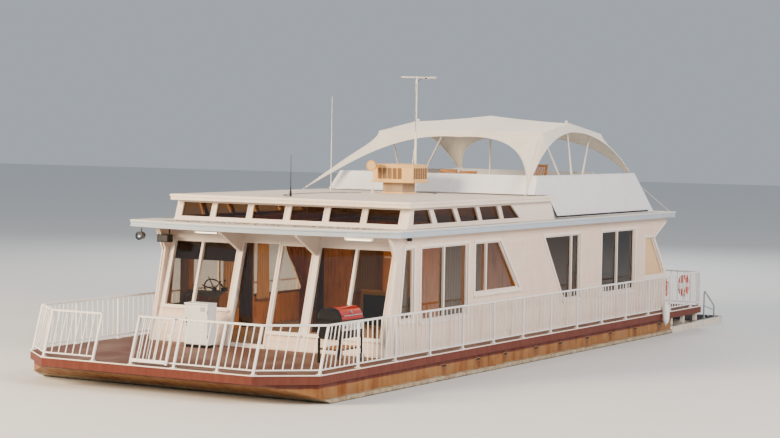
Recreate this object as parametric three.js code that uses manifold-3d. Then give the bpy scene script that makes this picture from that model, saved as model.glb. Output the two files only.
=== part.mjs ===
// A river houseboat: steel punt hull, deck with railings, hollow timber cabin, raised clerestory,
// roof deck with a tensioned canopy, and twin outboards. Millimetres, +X forward, +Y port, +Z up.
// The origin is under the middle of the boat, at the flat bottom of the hull.
import * as THREE from 'three';
import * as BufferGeometryUtils from 'three/addons/utils/BufferGeometryUtils.js';
import Module from 'manifold-3d';

const wasm = await Module();
wasm.setup();

// Driving dimensions
const gap = 0.3;                 // clearance between pieces that touch
const waterline = 400;
const deckTop = 970;
const deckDepth = 180;           // deck plate with its fascia
const deckHalf = 3410;
const deckFore = 10580;
const deckAft = -8840;
const bowCorner = [9780, 2450];  // where the bow chamfer meets the side (x) and the front (y)
const hullAft = -6950;
const hullHalf = 3400;
const ledgeTop = 490;            // pale ledge along the waterline
const railHeight = 900;
const lowRail = 80;              // height of the low rail over the deck
const railInset = 40;
const railRake = 1 / 3;          // the bow railing leans aft
const wallPort = 3000;           // the cabin stands off centre, with the wide side deck to starboard
const wallStarboard = 2680;
const wallThick = 60;
const wallAft = -7360;
const cabinAft = -5900;          // aft face of the cabin's rear wall
const frontFoot = 6800;          // glazed front wall at deck level
const frontRake = 0.28;
const sillHeight = 1690;
const lowSill = 1600;
const windowHead = 3090;
const eaveBottom = 3320;
const eaveTop = 3450;
const roofPort = 3220;
const roofStarboard = 3380;
const roofAft = -7400;
const slabBottom = 3875;
const slabTop = 3990;
const slabHalf = 2950;
const slabFore = 5775;
const slabAft = -880;
const clerestoryPort = 2830;
const clerestoryStarboard = 2930;
const parapetTop = 4445;
const glassThick = 12;

const root = new THREE.Group();
const finishes = {
  white: { color: 0xe9e4da, roughness: 0.55, metalness: 0 },
  cream: { color: 0xe0d6c0, roughness: 0.6, metalness: 0 },
  rust: { color: 0x8a5a38, roughness: 0.8, metalness: 0.1 },
  maroon: { color: 0x5c2418, roughness: 0.7, metalness: 0 },
  glass: { color: 0x2c2a28, roughness: 0.1, metalness: 0 },
  screen: { color: 0xdcb98a, roughness: 0.7, metalness: 0 },
  fabric: { color: 0xe6dfcf, roughness: 0.9, metalness: 0 },
  steel: { color: 0xb8babd, roughness: 0.35, metalness: 0.8 },
  wood: { color: 0x7a4a26, roughness: 0.7, metalness: 0 },
  black: { color: 0x1a1b1d, roughness: 0.5, metalness: 0 },
  red: { color: 0xa8231c, roughness: 0.4, metalness: 0 },
};

function add(name, geometry, finish) {
  const mesh = new THREE.Mesh(geometry, new THREE.MeshStandardMaterial(finishes[finish]));
  mesh.name = name;
  root.add(mesh);
  return mesh;
}

// Turns a closed three.js geometry into a solid for joining and cutting.
function solid(geometry) {
  const bare = geometry.index ? geometry.toNonIndexed() : geometry.clone();
  bare.deleteAttribute('normal');
  bare.deleteAttribute('uv');
  const merged = BufferGeometryUtils.mergeVertices(bare, 0.001);
  return new wasm.Manifold(new wasm.Mesh({
    numProp: 3,
    vertProperties: new Float32Array(merged.attributes.position.array),
    triVerts: new Uint32Array(merged.index.array),
  }));
}

function geometryOf(body) {
  const mesh = body.getMesh();
  const geometry = new THREE.BufferGeometry();
  geometry.setAttribute('position', new THREE.BufferAttribute(new Float32Array(mesh.vertProperties), 3));
  geometry.setIndex(new THREE.BufferAttribute(new Uint32Array(mesh.triVerts), 1));
  return geometry;
}

function joined(geometries) {
  return geometries.map(solid).reduce((sum, piece) => sum.add(piece));
}

function block(x0, x1, y0, y1, z0, z1) {
  const geometry = new THREE.BoxGeometry(x1 - x0, y1 - y0, z1 - z0);
  return geometry.translate((x0 + x1) / 2, (y0 + y1) / 2, (z0 + z1) / 2);
}

function outline(points) {
  const shape = new THREE.Shape();
  points.forEach(([a, b], i) => (i === 0 ? shape.moveTo(a, b) : shape.lineTo(a, b)));
  shape.closePath();
  return shape;
}

function extruded(points, holes, depth) {
  const plate = (edge, thick) => new THREE.ExtrudeGeometry(outline(edge), {
    depth: thick,
    bevelEnabled: false,
  });
  if (holes.length === 0) return plate(points, depth);
  const overrun = 10;
  const cutter = (hole) => solid(plate(hole, depth + 2 * overrun).translate(0, 0, -overrun));
  const whole = solid(plate(points, depth));
  return geometryOf(holes.map(cutter).reduce((sheet, hole) => sheet.subtract(hole), whole));
}

// Plates drawn as (x, y) and raised along z, as (x, z) across y, or as (y, z) along x.
function planPlate(points, z0, z1, holes = []) {
  return extruded(points, holes, z1 - z0).translate(0, 0, z0);
}

function sidePlate(points, y0, y1, holes = []) {
  return extruded(points, holes, y1 - y0).rotateX(Math.PI / 2).translate(0, y1, 0);
}

function crossPlate(points, x0, x1, holes = []) {
  const turn = new THREE.Matrix4().makeBasis(
    new THREE.Vector3(0, 1, 0), new THREE.Vector3(0, 0, 1), new THREE.Vector3(1, 0, 0));
  return extruded(points, holes, x1 - x0).applyMatrix4(turn).translate(x0, 0, 0);
}

// A straight bar of rectangular or round section between two points.
function bar(from, to, width, height = width, sides = 4) {
  const a = new THREE.Vector3(...from);
  const b = new THREE.Vector3(...to);
  const length = a.distanceTo(b);
  const geometry = sides === 4
    ? new THREE.BoxGeometry(width, length, height)
    : new THREE.CylinderGeometry(width / 2, width / 2, length, sides);
  const turn = new THREE.Quaternion().setFromUnitVectors(
    new THREE.Vector3(0, 1, 0), b.clone().sub(a).normalize());
  const middle = a.add(b).multiplyScalar(0.5);
  return geometry.applyQuaternion(turn).translate(middle.x, middle.y, middle.z);
}

// Moves each vertex by a rule of its own place.
function bend(geometry, rule) {
  const place = geometry.attributes.position;
  for (let i = 0; i < place.count; i += 1) {
    const [x, y, z] = rule(place.getX(i), place.getY(i), place.getZ(i));
    place.setXYZ(i, x, y, z);
  }
  return geometry;
}

const rakedFront = (x, y, z) => [x - frontRake * (z - deckTop), y, z];

function mirrored(points) {
  return points.map(([x, y]) => [x, -y]).reverse();
}

function symmetric(portPoints) {
  return [...portPoints, ...mirrored(portPoints)];
}

// Hull: side profile cut by the deck plan, with the sides set in above the ledge
const hullTop = deckTop - deckDepth - gap;
const bowFoot = 8300;            // forward end of the flat bottom
const bowHead = 10400;
const hullCorner = [9700, 10480];
const sideInset = 60;
const hullProfile = [[hullAft, 0], [bowFoot, 0], [bowHead, hullTop], [hullAft, hullTop]];
const hullPlan = symmetric([
  [hullAft, hullHalf], [hullCorner[0], hullHalf], [hullCorner[1], bowCorner[1] - 10],
]).reverse();
let hull = solid(sidePlate(hullProfile, -hullHalf, hullHalf))
  .intersect(solid(planPlate(hullPlan, -10, hullTop + 10)));
for (const side of [-1, 1]) {
  const inner = side * (hullHalf - sideInset);
  const outer = side * (hullHalf + 10);
  const strip = block(hullAft - 10, deckFore, Math.min(inner, outer), Math.max(inner, outer),
    ledgeTop, hullTop + 10);
  hull = hull.subtract(solid(strip));
}
add('hull', geometryOf(hull), 'rust');

const deckPlan = symmetric([
  [deckAft, deckHalf], [bowCorner[0], deckHalf], [deckFore, bowCorner[1]],
]).reverse();
add('main_deck', planPlate(deckPlan, deckTop - deckDepth, deckTop), 'maroon');

// Swim platform: side beams and posts under the aft deck, two boarding wings and the engine board
const beamZ = 470;
const beamWidth = 70;
const beamDepth = 140;
const crossDepth = 120;
const beamTop = beamZ + beamDepth / 2;
const platformTop = 565;
const platformAft = -10605;
const platformHalf = 3330;
const wellHalf = 1180;
const boardTop = 900;
const engineBoardX = -9000;
const engineY = 550;
const steerX = -9085;
const beams = [];
for (const side of [-1, 1]) {
  const outer = side * (platformHalf - 35);
  const inner = side * (wellHalf + 35);
  const wing = [side * (wellHalf - 5), side * (platformHalf + 5)];
  const tailX = platformAft + 45;
  const crossX = platformAft + 40;
  beams.push(bar([hullAft - gap, outer, beamZ], [tailX, outer, beamZ], beamWidth, beamDepth));
  beams.push(bar([-8740, inner, beamZ], [tailX, inner, beamZ], beamWidth, beamDepth));
  beams.push(block(platformAft, -8800, Math.min(...wing), Math.max(...wing), beamTop - 8, platformTop));
  beams.push(bar([crossX, side * (wellHalf + 10), beamZ], [crossX, side * (platformHalf - 10), beamZ],
    beamWidth, crossDepth));
  for (const x of [-7050, -7850, -8700]) {
    beams.push(bar([x, outer, 450], [x, outer, deckTop - deckDepth - gap], 90));
  }
  for (const y of [350, 900]) {
    const gusset = [[-8760, 425], [-8760, 505], [-8960, 860], [-8960, 425]];
    beams.push(sidePlate(gusset, side * y - 20, side * y + 20));
  }
}
for (const x of [-7085, -8755]) {
  beams.push(bar([x, 20 - platformHalf, beamZ], [x, platformHalf - 20, beamZ], beamWidth, crossDepth));
}
beams.push(block(engineBoardX, engineBoardX + 60, -1050, 1050, 330, boardTop));
for (const y of [engineY, -engineY]) {
  beams.push(block(steerX - 5, engineBoardX + 5, y - 40, y + 40, 620, 840));
  beams.push(bar([steerX, y, 566], [steerX, y, 894], 56, 56, 12));
}
add('swim_platform', geometryOf(joined(beams)), 'white');

const boarding = { y: 3230, fore: -9520, aft: -10250, foot: platformTop + gap, tube: 50 };
const boardingPost = (x, head) => bar([x, boarding.y, boarding.foot], [x, boarding.y, head],
  boarding.tube, boarding.tube, 8);
add('boarding_rail', geometryOf(joined([
  boardingPost(boarding.fore, 1285),
  boardingPost(boarding.aft, 890),
  bar([boarding.fore + 30, boarding.y, 1290], [boarding.aft - 30, boarding.y, 860], 45, 45, 8),
])), 'steel');

// Side walls: one sheet a side, with the front gusset, the windows and the slanted aft end cut in
const wallBottom = deckTop + gap;
const wallTop = eaveBottom - gap;
const sideWallOutline = [
  [wallAft, wallBottom], [6830, wallBottom], [6395, 2870], [6620, 3290], [6620, wallTop],
  [wallAft + 20, wallTop], [wallAft + 20, 3230], [-6560, 2850], [wallAft, 1935],
];
const sideWindows = {
  quarter: [[6225, lowSill + 60], [5690, lowSill + 60], [5690, windowHead], [6040, windowHead]],
  saloon: [[5400, lowSill], [3395, lowSill], [3395, windowHead], [5400, windowHead]],
  slanted: [[3080, 2015], [975, 2015], [1930, windowHead], [3080, windowHead]],
  cabinFore: [[-1310, lowSill], [-2170, lowSill], [-2170, windowHead], [-240, windowHead]],
  cabinAft: [[-3370, lowSill], [-5370, lowSill], [-5370, windowHead], [-3370, windowHead]],
  porch: [[-5960, 1860], [-7220, 1860], [-7220, 1935], [-6475, 2850], [-5960, 2850]],
};
// The starboard wall's slanted window goes down farther than the port one
const starboardWindows = {
  ...sideWindows,
  slanted: [[3080, lowSill + 60], [1000, lowSill + 60], [1930, windowHead], [3080, windowHead]],
};
const sideGlass = {
  saloon_glass: [[6420, lowSill - 40], [880, lowSill - 40], [1920, 3120], [6000, 3120]],
  cabin_glass_fore: [[-1250, lowSill - 40], [-2230, lowSill - 40], [-2230, 3130], [-150, 3130]],
  cabin_glass_aft: [[-3310, lowSill - 40], [-5430, lowSill - 40], [-5430, 3130], [-3310, 3130]],
};
for (const [name, side, wallOuter] of [['port', 1, wallPort], ['starboard', -1, wallStarboard]]) {
  const inner = side * (wallOuter - wallThick);
  const outer = side * wallOuter;
  const wall = sidePlate(sideWallOutline, Math.min(inner, outer), Math.max(inner, outer),
    Object.values(side > 0 ? sideWindows : starboardWindows));
  add(`${name}_wall`, wall, 'cream');
  const sheet = inner - side * (gap + glassThick / 2);
  for (const [pane, points] of Object.entries(sideGlass)) {
    add(`${name}_${pane}`, sidePlate(points, sheet - glassThick / 2, sheet + glassThick / 2), 'glass');
  }
  const screenPoints = [[-5970, 1800], [-7300, 1800], [-7300, 1925], [-6500, 2890], [-5970, 2890]];
  add(`${name}_windbreak`, sidePlate(screenPoints, sheet - glassThick / 2, sheet + glassThick / 2), 'screen');
}

// Raked front wall: posts, sill wall, glazed bays, a doorway and the gussets under the eave
const frontPort = wallPort - wallThick - gap;
const frontStarboard = wallStarboard - wallThick - gap;
const posts = { starboard: -800, port: 1050 };
const doorway = [-740, 150];
const lowGlass = 1300;
// Glazed bays as starboard edge, port edge and sill
const bays = {
  starboard: [-2510, -860, sillHeight],
  centre: [200, 990, lowGlass],
  port: [1110, 2860, lowGlass],
};
const bayHole = ([y0, y1], z0) => [[y0, z0], [y1, z0], [y1, windowHead - 20], [y0, windowHead - 20]];
const frontOutline = [[-frontStarboard, wallBottom], [doorway[0], wallBottom], [doorway[0], windowHead],
  [doorway[1], windowHead], [doorway[1], wallBottom], [frontPort, wallBottom], [frontPort, wallTop],
  [-frontStarboard, wallTop]];
const frontHoles = Object.values(bays).map((bay) => bayHole(bay, bay[2]));
const frontX = frontFoot - wallThick;
let frontWall = solid(bend(crossPlate(frontOutline, frontX, frontFoot, frontHoles), rakedFront));
const finHalf = 35;
const fin = [[6115, wallTop], [7020, wallTop], [7020, 3290], [6275, 2870], [6235, 2870]];
for (const y of Object.values(posts)) {
  frontWall = frontWall.add(solid(sidePlate(fin, y - finHalf, y + finHalf)));
}
add('front_wall', geometryOf(frontWall), 'cream');
const paneLap = 30;
for (const [name, [y0, y1, sill]] of Object.entries(bays)) {
  const pane = crossPlate(bayHole([y0 - paneLap, y1 + paneLap], sill - paneLap),
    frontX - gap - glassThick, frontX - gap);
  add(`front_glass_${name}`, bend(pane, rakedFront), 'glass');
}
const doorThick = 36;
const doorX = frontX - glassThick - doorThick - 8;
const leaf = crossPlate([[doorway[0] - 40, wallBottom + 12], [doorway[1] + 30, wallBottom + 12],
  [doorway[1] + 30, windowHead + 30], [doorway[0] - 40, windowHead + 30]], doorX, doorX + doorThick);
add('front_door', bend(leaf, rakedFront), 'glass');

// Rear wall with a doorway and a window, its door, and the bulkhead behind the saloon
const rearDoor = [-450, 450];
const rearDoorTop = 2960;
const rearWindow = [[1050, 1900], [2350, 1900], [2350, 2980], [1050, 2980]];
const rearWindowStarboard = mirrored(rearWindow.map(([y, z]) => [z, y])).map(([z, y]) => [y, z]);
const rearOutline = [[-frontStarboard, wallBottom], [rearDoor[0], wallBottom], [rearDoor[0], rearDoorTop],
  [rearDoor[1], rearDoorTop], [rearDoor[1], wallBottom], [frontPort, wallBottom], [frontPort, wallTop],
  [-frontStarboard, wallTop]];
add('aft_wall', crossPlate(rearOutline, cabinAft, cabinAft + wallThick,
  [rearWindow, rearWindowStarboard]), 'cream');
const aftGlassX = cabinAft + wallThick + gap;
for (const [name, y0, y1] of [['port', 1000, 2400], ['starboard', -2400, -1000]]) {
  add(`aft_glass_${name}`, block(aftGlassX, aftGlassX + glassThick, y0, y1, 1850, 3030), 'glass');
}
add('aft_door', block(cabinAft - 5, cabinAft + 35, rearDoor[0] + 8, rearDoor[1] - 8,
  wallBottom + 10, rearDoorTop - 8), 'white');
const innerDoor = [-1700, -850];
const innerDoorTop = 2950;
const bulkhead = [[-frontStarboard, wallBottom], [innerDoor[0], wallBottom], [innerDoor[0], innerDoorTop],
  [innerDoor[1], innerDoorTop], [innerDoor[1], wallBottom], [frontPort, wallBottom], [frontPort, wallTop],
  [-frontStarboard, wallTop]];
add('saloon_bulkhead', crossPlate(bulkhead, 300, 340), 'wood');
const helm = [[5450, wallBottom], [5950, wallBottom], [5850, 1850], [5650, 1950], [5450, 1750]];
add('helm_console', sidePlate(helm, -2500, -1600), 'wood');

// High-backed bench behind the port front window
const bench = { fore: 5230, aft: 4700, port: 2900, starboard: 1500, seat: 1430, back: 2120, leg: 60 };
const benchWithin = [bench.starboard + 10, bench.port - 10];
const benchPieces = [
  block(bench.aft, bench.fore, bench.starboard, bench.port, bench.seat - 60, bench.seat),
  block(bench.fore - 50, bench.fore, ...benchWithin, bench.back - 70, bench.back - 5),
  block(bench.fore - 40, bench.fore - 10, ...benchWithin, bench.seat - 40, bench.back - 60),
];
for (const y of [bench.starboard, bench.port - bench.leg]) {
  benchPieces.push(block(bench.fore - 50, bench.fore, y, y + bench.leg, wallBottom, bench.back));
  benchPieces.push(block(bench.aft, bench.aft + bench.leg, y, y + bench.leg, wallBottom, bench.seat - 10));
}
add('saloon_bench', geometryOf(joined(benchPieces)), 'wood');

// Main roof with its bowed front edge, open under the clerestory
const bowArc = [];
const bowArcFore = 7130;
const bowArcDepth = 520;
const roofMiddle = (roofPort - roofStarboard) / 2;
const roofHalf = (roofPort + roofStarboard) / 2;
for (let i = 0; i <= 8; i += 1) {
  const share = 1 - i / 4;
  bowArc.push([bowArcFore - bowArcDepth * share ** 2, roofMiddle + roofHalf * share]);
}
const roofPlan = [[roofAft, roofPort], ...bowArc, [roofAft, -roofStarboard]].reverse();
const roofWell = [[-900, -2600], [4900, -2600], [4900, 2600], [-900, 2600]];
add('main_roof', planPlate(roofPlan, eaveBottom, eaveTop, [roofWell]), 'white');

// Clerestory: a ring of low walls with a row of windows at the front and down each side
const clerestoryFoot = eaveTop + gap;
const clerestoryHead = slabBottom - gap;
const clerestoryAft = -1130;
const clerestoryFore = 5680;
const clerestoryRake = 0.35;
const ringThick = 50;
const headZ = 3845;
const footZ = 3520;
const rakedClerestory = (x, y, z) => [x - clerestoryRake * (z - eaveTop) * (x > 3000 ? 1 : 0), y, z];
const frontPanes = [[-2780, -2000], [-1900, -1080], [-965, -145], [-20, 815], [930, 1725], [1835, 2620]];
const frontHolesUp = frontPanes.map(([y0, y1]) => [[y0, footZ], [y1, footZ], [y1, headZ], [y0, headZ]]);
const ringFront = crossPlate([[-clerestoryStarboard, clerestoryFoot], [clerestoryPort, clerestoryFoot],
  [clerestoryPort, clerestoryHead], [-clerestoryStarboard, clerestoryHead]],
clerestoryFore - ringThick, clerestoryFore, frontHolesUp);
let clerestory = solid(bend(ringFront, rakedClerestory));
// Side panes as fore and aft ends at the foot, then at the head: the mullions lean aft downwards
const sidePanes = [
  [5470, 4615, 4790, 5440], [4450, 3550, 3785, 4660], [3435, 2570, 2760, 3655], [2465, 1580, 1760, 2650],
  [1460, 620, 1100, 1630],
];
const sideHolesUp = sidePanes.map(([footFore, footAft, headAft, headFore]) => [
  [footFore, footZ], [footAft, footZ], [headAft, headZ], [headFore, headZ]]);
const frontTopX = clerestoryFore - clerestoryRake * (clerestoryHead - eaveTop) - 10;
const aftSlope = 230;
for (const y0 of [-clerestoryStarboard, clerestoryPort - ringThick]) {
  const wall = sidePlate([[clerestoryAft, clerestoryFoot], [clerestoryFore - 10, clerestoryFoot],
    [frontTopX, clerestoryHead], [clerestoryAft + aftSlope, clerestoryHead]], y0, y0 + ringThick, sideHolesUp);
  clerestory = clerestory.add(solid(wall));
}
const aftInset = clerestoryAft + 8;
const aftPanelUp = [[aftInset, clerestoryFoot], [aftInset + ringThick, clerestoryFoot],
  [aftInset + ringThick + aftSlope, clerestoryHead], [aftInset + aftSlope, clerestoryHead]];
clerestory = clerestory.add(solid(sidePlate(aftPanelUp, 10 - clerestoryStarboard, clerestoryPort - 10)));
add('clerestory_wall', geometryOf(clerestory), 'cream');

const bandFoot = 3470;
const bandHead = 3865;
const bandPort = clerestoryPort - ringThick - gap;
const bandStarboard = clerestoryStarboard - ringThick - gap;
const bandFore = clerestoryFore - ringThick - 3;
const bandFront = crossPlate([[-bandStarboard, bandFoot], [bandPort, bandFoot], [bandPort, bandHead],
  [-bandStarboard, bandHead]], bandFore - glassThick, bandFore);
let band = solid(bend(bandFront, rakedClerestory));
const bandSideFore = bandFore - 17;
const bandSide = [[480, bandFoot], [bandSideFore, bandFoot],
  [bandSideFore - clerestoryRake * (bandHead - bandFoot), bandHead], [1000, bandHead]];
for (const y0 of [-bandStarboard, bandPort - glassThick]) {
  band = band.add(solid(sidePlate(bandSide, y0, y0 + glassThick)));
}
add('clerestory_glass', geometryOf(band), 'glass');

add('upper_roof', block(slabAft, slabFore, -slabHalf, slabHalf, slabBottom, slabTop), 'cream');

// Parapets of the roof deck: flat panels that lean inboard
const panelThick = 30;
const parapetFoot = eaveTop + 25;
const frontLean = 0.8;
const sideLean = 0.28;
const aftLean = 0.6;
const frontOutlineUp = [
  [-2740, slabTop + 30], [2740, slabTop + 30], [2632, parapetTop], [-2632, parapetTop],
];
const frontPanel = crossPlate(frontOutlineUp, -panelThick, 0);
add('parapet_front', bend(frontPanel, (x, y, z) => [x - 230 - frontLean * (z - slabTop), y, z]), 'white');
const sidePanel = [[-1160, parapetFoot], [-1160, parapetFoot + 5], [-935, slabBottom - 30],
  [-935, slabTop + 20], [-330, slabTop + 20], [-640, parapetTop], [-6150, parapetTop],
  [-6790, parapetFoot]].reverse();
for (const [name, side] of [['port', 1], ['starboard', -1]]) {
  const panel = sidePlate(sidePanel, side > 0 ? -panelThick : 0, side > 0 ? 0 : panelThick);
  const leaned = bend(panel, (x, y, z) => [x, y + side * (2880 - sideLean * (z - parapetFoot)), z]);
  add(`parapet_${name}`, leaned, 'white');
}
const aftOutlineUp = [
  [-2780, parapetFoot], [1500, parapetFoot], [1500, parapetTop], [-2540, parapetTop],
];
const aftPanel = crossPlate(aftOutlineUp, 0, panelThick);
add('parapet_aft', bend(aftPanel, (x, y, z) => [x - 6750 + aftLean * (z - parapetFoot), y, z]), 'white');

// Canopy: one tensioned sheet over a ridge, drawn down at its corners to four tails
const ridgeX = -3320;
const shoulderY = 2200;
const shoulderZ = 5400;
const creaseRise = 30;
const ridgeEndY = 2130;
const ridgeEndZ = 5650;
const ridgePeakZ = 5810;
const sheetThick = 24;
const sideEdgeMiddle = [ridgeX, 2270, 5450];
const canopyHalves = {
  fore: {
    creaseX: -1860,
    shoulder: [-1670, shoulderY, shoulderZ],
    endEdge: [[-1700, 0, 5300], [-1680, 1500, 5390], [-1050, 2200, 4900]],
    sideEdge: [[-2450, 2300, 5450], [-1400, 2320, 5170]],
    tip: [490, 2900, 4060],
  },
  aft: {
    creaseX: -4820,
    shoulder: [-5000, shoulderY, shoulderZ],
    endEdge: [[-4960, 0, 5300], [-5020, 1600, 5370], [-5600, 2120, 4960]],
    sideEdge: [[-4350, 2340, 5450], [-5500, 2460, 5040]],
    tip: [-6500, 2450, 4250],
  },
};
const vector = (p) => new THREE.Vector3(...p);
const along = (points, t) => new THREE.CubicBezierCurve3(...points.map(vector)).getPoint(t);
const between = (from, to, t) => from.clone().lerp(to, t);

// A quarter of the sheet: roof panel up to 0.5, then valances; the corner past both is the tail.
function canopyQuarter(half, p, q) {
  const endCurve = [...half.endEdge, half.tip];
  const sideCurve = [sideEdgeMiddle, ...half.sideEdge, half.tip];
  const shoulder = vector(half.shoulder);
  const across = Math.min(p * 2, 1);
  const out = Math.min(q * 2, 1);
  const down = Math.max(p * 2 - 1, 0);
  const drop = Math.max(q * 2 - 1, 0);
  const ridgeZ = ridgeEndZ + (ridgePeakZ - ridgeEndZ) * (1 - out) ** 1.5;
  const ridge = new THREE.Vector3(ridgeX, ridgeEndY * out, ridgeZ);
  const crease = new THREE.Vector3(half.creaseX + (shoulder.x - half.creaseX) * out * out, shoulderY * out,
    shoulderZ + creaseRise * (1 - out * out));
  if (drop === 0) {
    return down === 0 ? between(ridge, crease, across) : between(crease, along(endCurve, out / 2), down);
  }
  if (down === 0) return between(between(ridge, shoulder, across), along(sideCurve, across / 2), drop);
  const endFoot = along(endCurve, 0.5);
  const sideFoot = along(sideCurve, 0.5);
  const byEnd = between(between(shoulder, sideFoot, drop), along(endCurve, 0.5 + drop / 2), down);
  const bySide = between(between(shoulder, endFoot, down), along(sideCurve, 0.5 + down / 2), drop);
  const flat = between(between(shoulder, endFoot, down), between(sideFoot, vector(half.tip), down), drop);
  return byEnd.add(bySide).sub(flat);
}

function canopySheet(steps) {
  const points = [];
  for (const lift of [sheetThick / 2, -sheetThick / 2]) {
    for (let i = 0; i <= steps; i += 1) {
      for (let j = 0; j <= steps; j += 1) {
        const u = 2 * i / steps - 1;
        const v = 2 * j / steps - 1;
        const p = canopyQuarter(u < 0 ? canopyHalves.aft : canopyHalves.fore, Math.abs(u), Math.abs(v));
        points.push(p.x, v < 0 ? -p.y : p.y, p.z + lift);
      }
    }
  }
  const row = steps + 1;
  const under = row * row;
  const faces = [];
  const quad = (a, b, c, d) => faces.push(a, b, c, a, c, d);
  for (let i = 0; i < steps; i += 1) {
    for (let j = 0; j < steps; j += 1) {
      const a = i * row + j;
      quad(a, a + row, a + row + 1, a + 1);
      quad(under + a, under + a + 1, under + a + row + 1, under + a + row);
    }
  }
  for (let k = 0; k < steps; k += 1) {
    const last = steps * row;
    quad(k, k + 1, under + k + 1, under + k);
    quad(last + k + 1, last + k, under + last + k, under + last + k + 1);
    quad((k + 1) * row, k * row, under + k * row, under + (k + 1) * row);
    quad(k * row + steps, (k + 1) * row + steps, under + (k + 1) * row + steps, under + k * row + steps);
  }
  const geometry = new THREE.BufferGeometry();
  geometry.setAttribute('position', new THREE.BufferAttribute(new Float32Array(points), 3));
  geometry.setIndex(faces);
  return geometry;
}
add('canopy', canopySheet(20), 'fabric');

const poleWidth = 45;
const footY = 2330;
const fanFoot = [ridgeX, footY, eaveTop + 40];
const poles = [];
const sheetUnder = 45;
const fanHeads = [[ridgeX + 1330, 5310], [ridgeX, ridgeEndZ - sheetUnder], [ridgeX - 1330, 5310]];
for (const side of [-1, 1]) {
  const foot = [fanFoot[0], side * fanFoot[1], fanFoot[2]];
  for (const [x, z] of fanHeads) {
    poles.push(bar(foot, [x, side * 2040, z], poleWidth, poleWidth, 8));
  }
  const eaveEnd = [ridgeX, side * 2060, ridgeEndZ - sheetUnder - 15];
  poles.push(bar(eaveEnd, [ridgeX, 0, ridgePeakZ - sheetUnder - 20], poleWidth, poleWidth, 8));
  poles.push(block(ridgeX - 110, ridgeX + 110, side * footY - 70, side * footY + 70,
    eaveTop + gap, eaveTop + 50));
}
poles.push(bar([ridgeX, 0, eaveTop + gap], [ridgeX, 0, ridgePeakZ - sheetUnder], 50, 50, 8));
add('canopy_frame', geometryOf(joined(poles)), 'steel');

// Roof gear
const coolerTop = 4640;
// Body with cut corners, grown by a margin for its lid
const coolerPlan = (grow) => [
  [300 - grow / 2, -830 - grow], [980 + grow / 2, -830 - grow], [1100 + grow, -630 - grow / 2],
  [1100 + grow, 80 + grow / 2], [980 + grow / 2, 280 + grow], [300 - grow / 2, 280 + grow],
  [180 - grow, 80 + grow / 2], [180 - grow, -630 - grow / 2],
];
add('cooler', geometryOf(joined([
  block(330, 900, -560, -40, slabTop + gap, 4260),
  planPlate(coolerPlan(0), 4235, coolerTop),
  planPlate(coolerPlan(15), coolerTop, coolerTop + 32),
])), 'cream');
const mastX = -130;
const mastY = -300;
const boomZ = 6660;
const boom = [330, -185];        // half of the boom along x and y
const aerial = [
  bar([mastX, mastY, slabTop + gap], [mastX, mastY, boomZ + 20], 56, 56, 8),
  bar([mastX - boom[0], mastY - boom[1], boomZ], [mastX + boom[0], mastY + boom[1], boomZ], 30, 50),
];
for (let i = 0; i < 6; i += 1) {
  const share = -0.9 + i * 0.36;
  const reach = [(120 + 20 * i) * 0.48, (120 + 20 * i) * 0.87];
  const x = mastX + boom[0] * share;
  const y = mastY + boom[1] * share;
  aerial.push(bar([x - reach[0], y - reach[1], boomZ], [x + reach[0], y + reach[1], boomZ], 14, 14, 6));
}
add('tv_antenna', geometryOf(joined(aerial)), 'steel');
add('whip_antenna_fore', geometryOf(joined([
  bar([4700, -600, slabTop + gap], [4700, -600, 4120], 60, 60, 8),
  bar([4700, -600, 4100], [4700, -600, 4880], 14, 14, 6),
])), 'black');
add('whip_antenna_aft', geometryOf(joined([
  bar([520, -2200, slabTop + gap], [520, -2200, 4140], 60, 60, 8),
  bar([520, -2200, 4120], [520, -2200, 6190], 20, 20, 6),
])), 'white');
const lamp = { x: 6590, y: -3112, z: 3130 };
add('searchlight', geometryOf(joined([
  bar([lamp.x, lamp.y, lamp.z], [lamp.x, lamp.y, eaveBottom - gap], 40, 40, 8),
  bar([lamp.x - 90, lamp.y, lamp.z], [lamp.x + 90, lamp.y, lamp.z], 190, 190, 16),
])), 'steel');

// Wooden deck chairs on the roof, as place and height: seat, back, legs, arms
const chairs = [[-4900, -2200, 995], [-4870, -1605, 965], [-4870, 410, 1180]];
chairs.forEach(([x, y, tall], i) => {
  const floor = eaveTop + gap;
  const seat = floor + tall - 560;
  const back = [
    [x - 230, seat], [x - 190, seat], [x - 330, floor + tall], [x - 370, floor + tall],
  ];
  const pieces = [
    block(x - 230, x + 250, y - 250, y + 250, seat, seat + 30),
    sidePlate(back, y - 250, y + 250),
  ];
  for (const [dx, dy] of [[210, 215], [210, -215], [-200, 215], [-200, -215]]) {
    pieces.push(block(x + dx - 22, x + dx + 22, y + dy - 22, y + dy + 22, floor, seat + 220));
  }
  for (const dy of [-215, 215]) {
    pieces.push(block(x - 222, x + 250, y + dy - 30, y + dy + 30, seat + 200, seat + 225));
  }
  add(`roof_chair_${i + 1}`, geometryOf(joined(pieces)), 'wood');
});

// Railings: posts, top and bottom rails and balusters along a path drawn at deck level
const railTopZ = deckTop + railHeight;
function railing(path, spacing) {
  const pieces = [];
  path.forEach(([x, y], i) => {
    pieces.push(bar([x, y, deckTop + gap], [x, y, railTopZ - 10], 40));
    if (i === 0) return;
    const [px, py] = path[i - 1];
    pieces.push(bar([px, py, railTopZ - 20], [x, y, railTopZ - 20], 50, 40));
    pieces.push(bar([px, py, deckTop + lowRail], [x, y, deckTop + lowRail], 25));
    const gaps = Math.round(Math.hypot(x - px, y - py) / spacing);
    for (let k = 1; k < gaps; k += 1) {
      const bx = px + (x - px) * k / gaps;
      const by = py + (y - py) * k / gaps;
      pieces.push(bar([bx, by, deckTop + lowRail], [bx, by, railTopZ - 20], 16));
    }
  });
  return joined(pieces);
}
const railY = deckHalf - railInset;
const bowX = deckFore - railInset;
const sidePostPitch = 1383;
const firstPost = 8400;
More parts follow.
